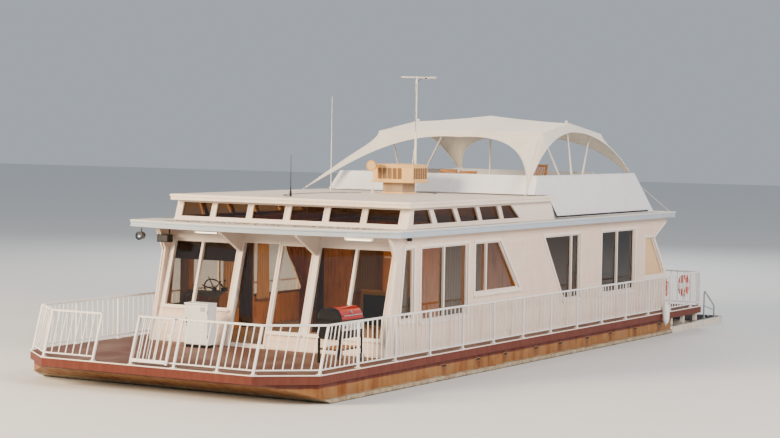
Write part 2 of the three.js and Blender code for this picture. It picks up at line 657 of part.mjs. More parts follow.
const gateway = [-1240, -330];   // gap in the bow railing
const leaning = (x, y, z) => {
  const share = Math.min(Math.max((x - firstPost) / (bowCorner[0] - 30 - firstPost), 0), 1);
  return [x - share * railRake * (z - deckTop), y, z];
};
const sidePosts = [];
for (let n = 0; n <= 12; n += 1) {
  sidePosts.push(firstPost - n * sidePostPitch);
}
const corner = [bowCorner[0] - 30, railY];
const portPath = [[bowX, gateway[1]], [bowX, 660], [bowX, 1640], [bowX, 2440], corner,
  ...sidePosts.map((x) => [x, railY]), [deckAft + railInset, railY]];
const starboardPath = [[bowX, gateway[0]], [bowX, -2440], [corner[0], -railY],
  ...sidePosts.map((x) => [x, -railY]), [deckAft + railInset, -railY]];
const braces = [[1950, 1440], [-5990, -5650]];
const balusterPitch = 165;
let portRail = railing(portPath, balusterPitch);
for (const [topX, footX] of braces) {
  portRail = portRail.add(solid(bar([topX, railY, railTopZ - 60], [footX, railY, deckTop + lowRail], 20)));
}
add('port_rail', bend(geometryOf(portRail), leaning), 'white');
add('starboard_rail', bend(geometryOf(railing(starboardPath, balusterPitch)), leaning), 'white');
const aftEnd = railY - 60;
const aftPath = [-aftEnd, -2200, -1100, 0, 1100, 2200, aftEnd].map((y) => [deckAft + railInset, y]);
add('aft_rail', geometryOf(railing(aftPath, 175)), 'white');

// Bow gate: stands folded back against the railing, hinged on the raked post at the gateway
const gateX = bowX + 62;
const gateFrom = -305;
const gateTo = 515;
const gateBottom = deckTop + 45;
const gateTop = railTopZ - 15;
const gatePieces = [
  bar([gateX, gateFrom, gateTop], [gateX, gateTo, gateTop], 36),
  bar([gateX, gateFrom, gateBottom + 45], [gateX, gateTo, gateBottom + 45], 36, 60),
  bar([gateX, gateFrom, gateBottom], [gateX, gateFrom, gateTop], 36),
  bar([gateX, gateTo, gateBottom], [gateX, gateTo, gateTop], 36),
];
for (let k = 1; k < 6; k += 1) {
  const y = gateFrom + (gateTo - gateFrom) * k / 6;
  gatePieces.push(bar([gateX, y, gateBottom + 45], [gateX, y, gateTop], 16));
}
add('bow_gate', bend(geometryOf(joined(gatePieces)), leaning), 'white');

// Outboards: powerhead under its cowl, leg and gearcase, hung on the engine board
const propellerZ = 205;
const propellerX = -9500;
for (const [name, side] of [['port', 1], ['starboard', -1]]) {
  const y = side * engineY;
  const cowl = sidePlate([[-8985, 960], [-9020, 1330], [-9120, 1420], [-9480, 1400], [-9640, 1290],
    [-9640, 1040], [-9560, 950]], y - 190, y + 190);
  const leg = sidePlate([[-9050, 960], [-9480, 960], [-9440, 640], [-9400, 400], [-9430, 300], [-9300, 120],
    [-9240, 40], [-9200, 120], [-9180, 420], [-9055, 480], [-9055, 556], [-9125, 556], [-9125, 904],
    [-9050, 904]], y - 42, y + 42);
  const plate = block(-9560, -9150, y - 110, y + 110, 395, 407);
  const gearcase = bar([-9130, y, propellerZ], [-9445, y, propellerZ], 100, 100, 12);
  add(`outboard_${name}`, geometryOf(joined([cowl, leg, plate, gearcase])), 'black');
  const blades = [bar([propellerX + 50, y, propellerZ], [propellerX - 60, y, propellerZ], 84, 84, 12)];
  for (let k = 0; k < 3; k += 1) {
    const blade = new THREE.BoxGeometry(12, 120, 130);
    blade.rotateZ(0.6).translate(0, 0, 98);
    blade.rotateX(k * 2 * Math.PI / 3).translate(propellerX, y, propellerZ);
    blades.push(blade);
  }
  add(`propeller_${name}`, geometryOf(joined(blades)), 'steel');
}

// Deck equipment
const grill = { aft: 7300, fore: 8200, back: 2300, front: 2860, top: 1800, shelf: 1250 };
const grillPieces = [
  block(grill.aft + 20, grill.fore - 20, grill.back + 20, grill.front - 20, 1430, grill.top),
  block(grill.aft + 30, grill.fore - 30, grill.back + 30, grill.front - 30, grill.shelf - 25, grill.shelf),
];
for (const x of [grill.aft + 25, grill.fore - 70]) {
  for (const y of [grill.back + 25, grill.front - 70]) {
    grillPieces.push(block(x, x + 45, y, y + 45, deckTop + gap, 1440));
  }
}
add('barbecue_body', geometryOf(joined(grillPieces)), 'black');
const hoodBottom = grill.top + 6;
const hoodSection = [[grill.back, hoodBottom], [grill.front, hoodBottom], [grill.front - 10, 1870],
  [grill.front - 150, 2040], [grill.back + 150, 2030], [grill.back + 10, 1890]];
add('barbecue_hood', crossPlate(hoodSection, grill.aft, grill.fore), 'red');
add('deck_cabinet', block(7180, 7500, -1320, -730, deckTop + gap, 1875), 'white');

for (const [name, side] of [['port', 1], ['starboard', -1]]) {
  const profile = [[0, 0], [45, 25], [85, 110], [90, 270], [85, 430], [45, 520], [0, 545]];
  const tube = new THREE.LatheGeometry(profile.map(([r, h]) => new THREE.Vector2(r, h)), 16);
  tube.rotateX(Math.PI / 2).translate(-6250, side * (deckHalf + 92), 680);
  add(`fender_${name}`, geometryOf(solid(tube)), 'white');
}

const ring = new THREE.TorusGeometry(245, 60, 10, 24);
ring.rotateX(Math.PI / 2).translate(-7950, railY - 90, 1550);
add('life_ring', geometryOf(solid(ring)), 'red');

// Ladder from the aft deck up to the opening in the roof deck's parapet
const ladderFoot = [-8060, deckTop + gap];
const ladderHead = [-7440, 3900];
const ladderPieces = [];
const ladderSides = [1830, 2270];
for (const y of ladderSides) {
  ladderPieces.push(bar([ladderFoot[0], y, ladderFoot[1] + 30], [ladderHead[0], y, ladderHead[1]], 40, 60));
  ladderPieces.push(block(ladderFoot[0] - 45, ladderFoot[0] + 45, y - 30, y + 30,
    ladderFoot[1], ladderFoot[1] + 40));
}
for (let k = 1; k <= 8; k += 1) {
  const share = k / 10;
  const x = ladderFoot[0] + (ladderHead[0] - ladderFoot[0]) * share;
  const z = ladderFoot[1] + (ladderHead[1] - ladderFoot[1]) * share;
  ladderPieces.push(block(x - 60, x + 60, ladderSides[0] + 10, ladderSides[1] - 10, z - 12, z + 12));
}
add('roof_ladder', geometryOf(joined(ladderPieces)), 'steel');

export default root;
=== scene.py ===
# A river houseboat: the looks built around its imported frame
import math

import bmesh
import bpy
from mathutils import Matrix, Vector


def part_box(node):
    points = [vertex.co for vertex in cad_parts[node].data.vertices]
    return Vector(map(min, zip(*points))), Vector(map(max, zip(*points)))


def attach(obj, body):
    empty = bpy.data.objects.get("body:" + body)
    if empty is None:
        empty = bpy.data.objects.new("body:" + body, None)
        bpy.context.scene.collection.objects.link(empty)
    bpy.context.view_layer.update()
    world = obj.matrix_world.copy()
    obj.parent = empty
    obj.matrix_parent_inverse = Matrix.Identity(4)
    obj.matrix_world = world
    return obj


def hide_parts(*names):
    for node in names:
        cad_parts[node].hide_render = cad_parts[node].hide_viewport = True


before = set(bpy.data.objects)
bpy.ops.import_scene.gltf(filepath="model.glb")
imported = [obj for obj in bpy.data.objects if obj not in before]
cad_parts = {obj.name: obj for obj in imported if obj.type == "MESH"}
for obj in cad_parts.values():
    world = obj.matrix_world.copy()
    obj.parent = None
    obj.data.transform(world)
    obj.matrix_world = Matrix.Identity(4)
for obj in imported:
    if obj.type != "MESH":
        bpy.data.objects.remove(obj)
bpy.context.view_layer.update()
boat = "boat"

# Places shared by several pieces, in metres
place = {
    "waterline": 0.40,
    "deck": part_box("main_deck")[1].z,
    "deckHalf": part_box("main_deck")[1].y,
    "deckAft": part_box("main_deck")[0].x,
    "deckFore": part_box("main_deck")[1].x,
    "roofBottom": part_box("main_roof")[0].z,
    "roofTop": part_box("main_roof")[1].z,
    "slabTop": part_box("upper_roof")[1].z,
    "slabBottom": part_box("upper_roof")[0].z,
}
# How meshes are closed and eased: metres, degrees
meshing = {"mergeWithin": 0.00002, "bevelAngle": 40, "bevelSegments": 2, "leastRadius": 0.0005,
    "leastLength": 0.01, "sharpestMitre": 0.3}


# Meshes

def addBox(bm, low, high, finish=0):
    span, corners = (low, high), ((0, 0), (1, 0), (1, 1), (0, 1))
    verts = [bm.verts.new((span[i][0], span[j][1], end[2])) for end in span for i, j in corners]
    for face in ((0, 3, 2, 1), (4, 5, 6, 7), (0, 1, 5, 4), (1, 2, 6, 5), (2, 3, 7, 6), (3, 0, 4, 7)):
        bm.faces.new([verts[k] for k in face]).material_index = finish


def addBlock(bm, x, y, halfX, halfY, low, high, finish=0):
    # an upright box by its middle in plan
    addBox(bm, (x - halfX, y - halfY, low), (x + halfX, y + halfY, high), finish)


def addLoft(bm, loops, finish=0, closed=False):
    # joins loops of equal length with quads, with a cap on each end
    rows = [[bm.verts.new(p) for p in loop] for loop in loops]
    pairs = list(zip(rows, rows[1:]))
    if closed:
        pairs.append((rows[-1], rows[0]))
    faces = []
    for lower, upper in pairs:
        for i in range(len(lower)):
            j = (i + 1) % len(lower)
            faces.append((lower[i], lower[j], upper[j], upper[i]))
    if not closed:
        faces += [rows[0][::-1], rows[-1]]
    for face in faces:
        bm.faces.new(face).material_index = finish


def circle(count, start=0.0):
    return [start + 2 * math.pi * k / count for k in range(count)]


def sweepFrames(points):
    # a direction and two cross directions at each point of a path
    frames = []
    side = None
    for i, point in enumerate(points):
        before = points[max(i - 1, 0)]
        after = points[min(i + 1, len(points) - 1)]
        along = (after - before).normalized()
        if side is None:
            side = along.cross(Vector((0, 0, 1)))
            if side.length < meshing["leastLength"]:
                side = Vector((1, 0, 0))
        side = (side - along * side.dot(along)).normalized()
        frames.append((point, side, along.cross(side)))
    return frames


def addTube(bm, points, radius, sides=12, finish=0):
    points = [Vector(p) for p in points]
    radii = radius if isinstance(radius, (list, tuple)) else [radius] * len(points)
    loops = []
    for (point, side, up), r in zip(sweepFrames(points), radii):
        loops.append([point + side * r * math.cos(t) + up * r * math.sin(t) for t in circle(sides)])
    addLoft(bm, loops, finish)


def addBar(bm, start, end, width, height, finish=0):
    # a straight bar with a rectangular section, its width kept level
    start, end = Vector(start), Vector(end)
    along = (end - start).normalized()
    side = along.cross(Vector((0, 0, 1)))
    side = side.normalized() if side.length > meshing["leastLength"] else Vector((0, 1, 0))
    up = side.cross(along)
    corners = [(-1, -1), (1, -1), (1, 1), (-1, 1)]
    addLoft(bm, [[p + side * width / 2 * a + up * height / 2 * b for a, b in corners]
        for p in (start, end)], finish)


def addLathe(bm, centre, axis, profile, sides=24, finish=0):
    # profile rows are (distance along the axis, radius); the ends close on the axis
    axis = Vector(axis).normalized()
    side = axis.orthogonal().normalized()
    up = axis.cross(side)
    loops = []
    for along, radius in profile:
        middle, reach = Vector(centre) + axis * along, max(radius, meshing["leastRadius"])
        loops.append([middle + (side * math.cos(t) + up * math.sin(t)) * reach for t in circle(sides)])
    addLoft(bm, loops, finish)


def addTurned(bm, centre, profile, sides=24, finish=0):
    addLathe(bm, centre, (0, 0, 1), profile, sides, finish)


def addStud(bm, foot, radius, height, sides, finish=0, axis=(0, 0, 1)):
    addLathe(bm, foot, axis, [(0, radius), (height, radius)], sides, finish)


def addPlate(bm, outline, thickness, direction, finish=0):
    # a flat outline given thickness along a direction
    shift = Vector(direction).normalized() * thickness
    front = [Vector(p) for p in outline]
    addLoft(bm, [front, [p + shift for p in front]], finish)


def addRing(bm, inner, outer, direction, thickness, finish=0):
    # a flat frame between two outlines of equal length
    shift = Vector(direction).normalized() * thickness
    pairs = [(Vector(a), Vector(b)) for a, b in zip(inner, outer)]
    addLoft(bm, [[a, b, b + shift, a + shift] for a, b in pairs], finish, closed=True)


def offsetOutline(points, distance):
    # moves a flat outline's edges outwards, with mitred corners; points are (a, b)
    area = sum(p[0] * q[1] - q[0] * p[1] for p, q in zip(points, points[1:] + points[:1]))
    sign = 1 if area > 0 else -1
    moved = []
    for i, point in enumerate(points):
        before, after = Vector(points[i - 1]), Vector(points[(i + 1) % len(points)])
        here = Vector(point)
        inward, outward = (here - before).normalized(), (after - here).normalized()
        firstNormal = Vector((inward.y, -inward.x)) * sign
        secondNormal = Vector((outward.y, -outward.x)) * sign
        mitre = (firstNormal + secondNormal).normalized()
        moved.append(tuple(here + mitre * distance / max(mitre.dot(firstNormal), meshing["sharpestMitre"])))
    return moved


def hoop(centre, u, v, major, minor, count, sides, flat=1.0):
    # the loops of a round bar bent into a ring in the plane of u and v
    loops = []
    for t in circle(count):
        out = u * math.cos(t) + v * math.sin(t)
        loops.append([centre + out * (major + flat * minor * math.cos(s)) + u.cross(v) * minor * math.sin(s)
            for s in circle(sides)])
    return loops


def rect(a0, z0, a1, z1):
    return [(a0, z0), (a1, z0), (a1, z1), (a0, z1)]


def addSlab(bm, toPoint, outline, near, far, finish=0):
    # an outline (a, z) on a wall, solid between two depths; toPoint gives the place of (a, z, depth)
    addLoft(bm, [[toPoint(a, z, depth) for a, z in outline] for depth in (near, far)], finish)


def sidePoint(side, outer, way=1):
    # toPoint of an upright wall to port (side 1) or starboard (-1), facing out (way 1) or in (-1)
    def toPoint(a, z, depth):
        return Vector((a, side * (outer + way * depth), z))
    return toPoint


def wallFace(name, side):
    return abs(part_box(name + "_wall")[1 if side > 0 else 0].y)


def meshOf(name, bm):
    mesh = bpy.data.meshes.new(name)
    bm.to_mesh(mesh)
    bm.free()
    return mesh


def finishPiece(name, bm, finishNames, slot, merge=True, **options):
    # turns a bmesh into a named piece on its body
    if merge:
        bmesh.ops.remove_doubles(bm, verts=bm.verts, dist=meshing["mergeWithin"])
    bmesh.ops.recalc_face_normals(bm, faces=bm.faces)
    return finishMesh(name, meshOf(name, bm), finishNames, slot, **options)


def dressNode(node, bm, finishNames, slot, **options):
    # the detailed piece that stands for one node of the frame
    return finishPiece(node + "_dressed", bm, finishNames, slot, replaces=[node], **options)


def finishMesh(name, mesh, finishNames, slot, body=boat, smooth=None, bevel=0.0, replaces=()):
    piece = bpy.data.objects.new(name, mesh)
    bpy.context.scene.collection.objects.link(piece)
    for finishName in finishNames.split():
        mesh.materials.append(finishes[finishName])
    if smooth:
        mesh.shade_smooth()
        mesh.set_sharp_from_angle(angle=math.radians(smooth))
    if bevel:
        edge = piece.modifiers.new("edge", "BEVEL")
        edge.width = bevel
        edge.segments = meshing["bevelSegments"]
        edge.limit_method = "ANGLE"
        edge.angle_limit = math.radians(meshing["bevelAngle"])
    if replaces:
        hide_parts(*replaces)
    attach(piece, body)
    return piece


def clothPiece(name, rows, finishName, thick, smooth=None, offset=0.0, flip=False, replaces=()):
    # a sheet of cloth from rows of points, with its area
    bm = bmesh.new()
    verts = [[bm.verts.new(p) for p in row] for row in rows]
    area = 0
    for lower, upper in zip(verts, verts[1:]):
        for i in range(len(lower) - 1):
            face = [lower[i], lower[i + 1], upper[i + 1], upper[i]]
            area += bm.faces.new([face[k] for k in ((0, 3, 2, 1) if flip else (0, 1, 2, 3))]).calc_area()
    piece = finishMesh(name, meshOf(name, bm), finishName, "canopy_fabric", smooth=smooth,
        replaces=replaces)
    solid = piece.modifiers.new("thickness", "SOLIDIFY")
    solid.thickness = thick
    solid.offset = offset
    return piece, area


def repeatTree(name, finish):
    # Geometry Nodes: one box on each point, turned at random within a spread, then made real
    tree = bpy.data.node_groups.new(name, "GeometryNodeTree")
    nodes, links = tree.nodes, tree.links
    for label, kind in (("Geometry", "Geometry"), ("Size", "Vector"), ("Spread", "Vector"),
            ("Seed", "Int")):
        tree.interface.new_socket(label, in_out="INPUT", socket_type="NodeSocket" + kind)
    tree.interface.new_socket("Geometry", in_out="OUTPUT", socket_type="NodeSocketGeometry")
    inside = nodes.new("NodeGroupInput").outputs
    outside = nodes.new("NodeGroupOutput")
    part = nodes.new("GeometryNodeMeshCube")
    chance = nodes.new("FunctionNodeRandomValue")
    chance.data_type = "FLOAT_VECTOR"
    flip = nodes.new("ShaderNodeVectorMath")
    flip.operation = "SCALE"
    flip.inputs["Scale"].default_value = -1.0
    spread = nodes.new("GeometryNodeInstanceOnPoints")
    real = nodes.new("GeometryNodeRealizeInstances")
    paint = nodes.new("GeometryNodeSetMaterial")
    paint.inputs["Material"].default_value = finish
    for start, node, socket in ((inside["Size"], part, "Size"), (inside["Seed"], chance, "Seed"),
            (inside["Spread"], chance, 1), (inside["Spread"], flip, 0), (flip.outputs[0], chance, 0),
            (inside["Geometry"], spread, "Points"), (part.outputs["Mesh"], spread, "Instance"),
            (chance.outputs[0], spread, "Rotation"), (spread.outputs["Instances"], real, "Geometry"),
            (real.outputs["Geometry"], paint, "Geometry"),
            (paint.outputs["Geometry"], outside, "Geometry")):
        links.new(start, node.inputs[socket])
    return tree


def repeated(name, points, size, finishName, spread=(0, 0, 0), seed=1):
    # the plain mesh that a repeat tree gives on these points
    cloud = bpy.data.meshes.new(name + "Points")
    cloud.from_pydata([tuple(p) for p in points], [], [])
    holder = bpy.data.objects.new(name + "Holder", cloud)
    bpy.context.scene.collection.objects.link(holder)
    change = holder.modifiers.new("repeat", "NODES")
    change.node_group = repeatTree(name + "Tree", finishes[finishName])
    values = {"Size": size, "Spread": spread, "Seed": seed}
    for item in change.node_group.interface.items_tree:
        if item.in_out == "INPUT" and item.name in values:
            change[item.identifier] = values[item.name]
    graph = bpy.context.evaluated_depsgraph_get()
    mesh = bpy.data.meshes.new_from_object(holder.evaluated_get(graph))
    holder.modifiers.remove(change)
    bpy.data.objects.remove(holder)
    return mesh


def addMesh(bm, mesh):
    # adds a plain mesh to a bmesh, all in its first finish
    start = len(bm.faces)
    bm.from_mesh(mesh)
    bm.faces.ensure_lookup_table()
    for face in bm.faces[start:]:
        face.material_index = 0


def moveBy(bm, rule):
    for vert in bm.verts:
        vert.co = Vector(rule(*vert.co))


# Finishes

class Finish:
    # a material being made: its methods add nodes and give their outputs
    def __init__(self, name, scale=(1, 1, 1)):
        self.material = bpy.data.materials.new(name)
        self.material.use_nodes = True
        self.nodes = self.material.node_tree.nodes
        self.flat = self.place(scale)

    def add(self, kind, inputs, output):
        # inputs are values to set or outputs to link, by the socket's name or number
        node = self.nodes.new(kind)
        self.fill(node, inputs)
        return node.outputs[output]

    def fill(self, node, inputs):
        for key, value in inputs.items():
            if isinstance(value, bpy.types.NodeSocket):
                self.material.node_tree.links.new(value, node.inputs[key])
            else:
                full = isinstance(value, tuple) and len(node.inputs[key].default_value) > len(value)
                node.inputs[key].default_value = (*value, 1) if full else value

    def shade(self, inputs):
        self.fill(self.nodes["Principled BSDF"], inputs)

    def place(self, scale):
        spot = self.add("ShaderNodeTexCoord", {}, "Object")
        return self.add("ShaderNodeMapping", {"Scale": scale, "Vector": spot}, "Vector")

    def apart(self, axis):
        spot = self.add("ShaderNodeTexCoord", {}, "Object")
        return self.add("ShaderNodeSeparateXYZ", {0: spot}, axis)

    def noise(self, scale, detail=4.0, vector=None, roughness=0.6):
        return self.add("ShaderNodeTexNoise", {"Scale": scale, "Detail": detail, "Roughness": roughness,
            "Vector": vector or self.flat}, "Fac")

    def level(self, value, low, high, to=(0.0, 1.0)):
        return self.add("ShaderNodeMapRange", {"From Min": low, "From Max": high, "To Min": to[0],
            "To Max": to[1], "Value": value}, "Result")

    def spots(self, scale, low, high, to=(0.0, 1.0), detail=4.0, vector=None):
        return self.level(self.noise(scale, detail, vector), low, high, to)

    def ramp(self, value, stops):
        ramp = self.nodes.new("ShaderNodeValToRGB")
        elements = ramp.color_ramp.elements
        while len(elements) < len(stops):
            elements.new(0.5)
        for element, (position, colour) in zip(elements, stops):
            element.position = position
            element.color = (*colour, 1)
        self.fill(ramp, {"Fac": value})
        return ramp.outputs["Color"]

    def mix(self, share, first, second):
        mix = self.nodes.new("ShaderNodeMix")
        mix.data_type = "RGBA"
        self.fill(mix, {0: share, 6: first, 7: second})
        return mix.outputs[2]

    def sums(self, operation, first, second):
        node = self.nodes.new("ShaderNodeMath")
        node.operation = operation
        self.fill(node, {0: first, 1: second})
        return node.outputs[0]

    def bump(self, height, strength, distance=0.002):
        self.shade({"Normal": self.add("ShaderNodeBump",
            {"Strength": strength, "Distance": distance, "Height": height}, "Normal")})

    def bands(self, bands, base):
        # lays colours over one another by height; each band is (from z, colour)
        height = self.apart("Z")
        for foot, above in bands:
            base = self.mix(self.level(height, foot - 0.002, foot + 0.002), base, above)
        return base


def makePaint(name, **look):
    # weathered paint: patches, streaks that run down, fine pores and a worn sheen
    look = {"dirt": (0.35, 0.3, 0.24), "dirtShare": 0.22, "streakShare": 0.3, "patch": 1.6, "streak": 9.0,
        "rough": (0.4, 0.6), "pores": 260.0, "bump": 0.15, "metal": 0.0, "coat": 0.0, "bands": (), **look}
    paint = Finish(name)
    patches = paint.spots(look["patch"], 0.45, 0.8, (0, look["dirtShare"]))
    streaks = paint.spots(look["streak"], 0.52, 0.82, (0, look["streakShare"]), 6,
        paint.place((1, 1, 0.12)))
    base = paint.bands(look["bands"], look["colour"]) if look["bands"] else look["colour"]
    dirty = paint.mix(streaks, paint.mix(patches, base, look["dirt"]), look["dirt"])
    sheen = paint.spots(look["patch"] * 7, 0.3, 0.7, look["rough"])
    paint.shade({"Base Color": dirty, "Roughness": sheen, "Metallic": look["metal"],
        "Coat Weight": look["coat"]})
    paint.bump(paint.noise(look["pores"], 3), look["bump"], 0.001)
    return paint.material


def makeHullSteel():
    # tan hull paint with rust that runs down from the scuppers, pale and scummed at the waterline, with a
    # dark band of painted shade at its very foot
    look = {"paint": (0.23, 0.105, 0.034), "rust": (0.17, 0.055, 0.016), "blotch": (0.30, 0.15, 0.05),
        "run": (0.12, 0.04, 0.014), "scum": (0.40, 0.34, 0.24), "oldScum": (0.24, 0.17, 0.10),
        "footShade": (0.055, 0.05, 0.035), "scumTop": 0.50, "footShadeTop": 0.425, "band": (0.10, 0.023, 0.014),
        "bandFoot": 0.705, "span": (-7.0, 6.0), "runHalf": 0.013}
    steel = Finish("hull_steel_paint")
    runs = steel.spots(5.0, 0.45, 0.66, detail=8, vector=steel.place((1, 1, 0.14)))
    blotches = steel.spots(2.2, 0.42, 0.72, (0, 0.8), 6)
    colour = steel.mix(blotches, steel.mix(runs, look["paint"], look["rust"]), look["blotch"])
    # rust below each scupper, by its place along the hull
    start, end = look["span"]
    stops = [(0.0, (0, 0, 0))]
    for x in reversed(scupperPlaces):
        at = (x - start) / (end - start)
        stops += [(at - look["runHalf"], (0, 0, 0)), (at, (1, 1, 1)), (at + look["runHalf"], (0, 0, 0))]
    height = steel.apart("Z")
    waver = steel.sums("MULTIPLY", steel.noise(4.0), 0.12)
    along = steel.sums("ADD", steel.apart("X"), steel.sums("SUBTRACT", waver, 0.06))
    streak = steel.ramp(steel.level(along, start, end), stops)
    below = steel.sums("MULTIPLY", steel.level(height, 0.72, 0.66),
        steel.level(height, 0.44, 0.60, (0.35, 1.0)))
    colour = steel.mix(steel.sums("MULTIPLY", streak, below), colour, look["run"])
    ragged = steel.sums("ADD", height, steel.sums("MULTIPLY", steel.noise(5.0), 0.03))
    inBand = steel.level(ragged, look["bandFoot"] + 0.008, look["bandFoot"] + 0.022)
    colour = steel.mix(inBand, colour, look["band"])
    scum = steel.mix(steel.spots(9.0, 0.35, 0.65), look["scum"], look["oldScum"])
    rippled = steel.sums("ADD", height, steel.sums("MULTIPLY", steel.noise(3.0), 0.05))
    colour = steel.mix(steel.level(rippled, look["scumTop"] + 0.01, look["scumTop"] + 0.03), scum, colour)
    # a dark band right at the waterline: painted shade under the scum line
    colour = steel.mix(steel.level(rippled, look["footShadeTop"] + 0.005, look["footShadeTop"] + 0.03), look["footShade"],
        colour)
    steel.shade({"Base Color": colour, "Roughness": steel.level(runs, 0, 1, (0.55, 0.85))})
    steel.bump(steel.noise(60.0, 6), 0.35, 0.004)
    return steel.material


def makeDeckPaint():
    # maroon fascia below a worn brown walking surface
    look = {"fascia": (0.105, 0.023, 0.014), "faded": (0.14, 0.040, 0.023), "drip": (0.10, 0.035, 0.02),
        "walk": (0.11, 0.045, 0.03), "worn": (0.20, 0.12, 0.085), "top": place["deck"] - 0.004}
    paint = Finish("deck_paint_maroon")
    drawnDown = paint.place((1, 1, 0.2))
    side = paint.mix(paint.spots(7.0, 0.4, 0.75, detail=6, vector=drawnDown), look["fascia"], look["faded"])
    side = paint.mix(paint.spots(16.0, 0.6, 0.75, (0, 0.6), vector=drawnDown), side, look["drip"])
    top = paint.mix(paint.spots(1.3, 0.42, 0.72, detail=6), look["walk"], look["worn"])
    paint.shade({"Base Color": paint.bands([(look["top"], top)], side), "Roughness": 0.62})
    paint.bump(paint.noise(90.0, 5), 0.3)
    return paint.material


def makePlatformPaint():
    # white beams with rust at their foot and a grey non-slip top
    look = {"white": (0.62, 0.57, 0.49), "rust": (0.30, 0.15, 0.07), "tread": (0.23, 0.23, 0.23),
        "wornTread": (0.33, 0.32, 0.30), "top": 0.5635, "beams": 0.60}
    paint = Finish("platform_paint_white")
    streaks = paint.spots(8.0, 0.5, 0.75, (0, 0.7), 6, paint.place((1, 1, 0.2)))
    side = paint.mix(streaks, look["white"], look["rust"])
    tread = paint.mix(paint.spots(3.0, 0.4, 0.7, detail=5), look["tread"], look["wornTread"])
    lowBand = paint.bands([(look["top"], tread)], side)
    paint.shade({"Base Color": paint.bands([(look["beams"], side)], lowBand), "Roughness": 0.6})
    paint.bump(paint.noise(150.0, 2), 0.4)
    return paint.material


def makeGlass(name, tint):
    glass = Finish(name)
    cloud = glass.spots(0.8, 0.3, 0.7, (0, 0.25), 3)
    glass.shade({"Transmission Weight": 1.0, "IOR": 1.45,
        "Roughness": glass.spots(1.5, 0.45, 0.75, (0.02, 0.07), 5),
        "Base Color": glass.mix(cloud, tint, tuple(c * 0.75 for c in tint))})
    glass.bump(glass.noise(0.7, 1), 0.05, 0.01)
    return glass.material


def makeCloth(name, **look):
    # woven cloth: crossed threads, soft soiling and a sheen
    look = {"thread": 420.0, "weave": 0.25, "soil": (0.4, 0.34, 0.27), "soilShare": 0.25, "sheen": 0.3,
        "rough": 0.85, "light": 0.0, **look}
    cloth = Finish(name)
    soil = cloth.spots(1.4, 0.45, 0.8, (0, look["soilShare"]), 6)
    tone = cloth.spots(7.0, 0.3, 0.7, (0, 0.35))
    colour = cloth.mix(tone, look["colour"], tuple(c * 0.86 for c in look["colour"]))
    threads = []
    for axis in ("X", "Y"):
        wave = cloth.nodes.new("ShaderNodeTexWave")
        wave.bands_direction = axis
        cloth.fill(wave, {"Scale": look["thread"], "Distortion": 1.5, "Vector": cloth.flat})
        threads.append(wave.outputs["Fac"])
    cloth.bump(cloth.sums("ADD", *threads), look["weave"], 0.001)
    cloth.shade({"Base Color": cloth.mix(soil, colour, look["soil"]), "Roughness": look["rough"],
        "Sheen Weight": look["sheen"], "Transmission Weight": look["light"]})
    return cloth.material


def makeMetal(name, **look):
    look = {"rough": (0.25, 0.45), "brush": 80.0, "stain": (0.25, 0.22, 0.2), "stainShare": 0.3, **look}
    metal = Finish(name)
    stain = metal.spots(6.0, 0.5, 0.8, (0, look["stainShare"]), 5)
    strokes = metal.noise(look["brush"], vector=metal.place((1, 1, 0.05)))
    metal.shade({"Base Color": metal.mix(stain, look["colour"], look["stain"]),
        "Roughness": metal.level(strokes, 0.3, 0.7, look["rough"]), "Metallic": 1.0})
    metal.bump(strokes, 0.1, 0.0006)
    return metal.material


def makeWood(name, **look):
    look = {"ring": 3.5, "rough": 0.45, "bump": 0.15, "along": (6, 6, 0.5), **look}
    wood = Finish(name, look["along"])
    grain = wood.noise(look["ring"], 8, roughness=0.7)
    stops = [(0.35, look["dark"]), (0.5, look["colour"]), (0.7, look["pale"])]
    wood.shade({"Base Color": wood.ramp(grain, stops), "Roughness": look["rough"]})
    wood.bump(grain, look["bump"])
    return wood.material


def makeGlow(name, colour, strength):
    glow = Finish(name)
    shade = glow.spots(2.0, 0.3, 0.7, (0, 0.15))
    glow.shade({"Base Color": glow.mix(shade, colour, (0.8, 0.75, 0.6)), "Emission Color": colour,
        "Emission Strength": strength})
    return glow.material


# The hull's scuppers along its length, which the rust runs follow
scupperPlaces = [4.98, 3.50, 2.26, 0.76, -0.47, -1.92, -3.22, -4.70, -6.18]

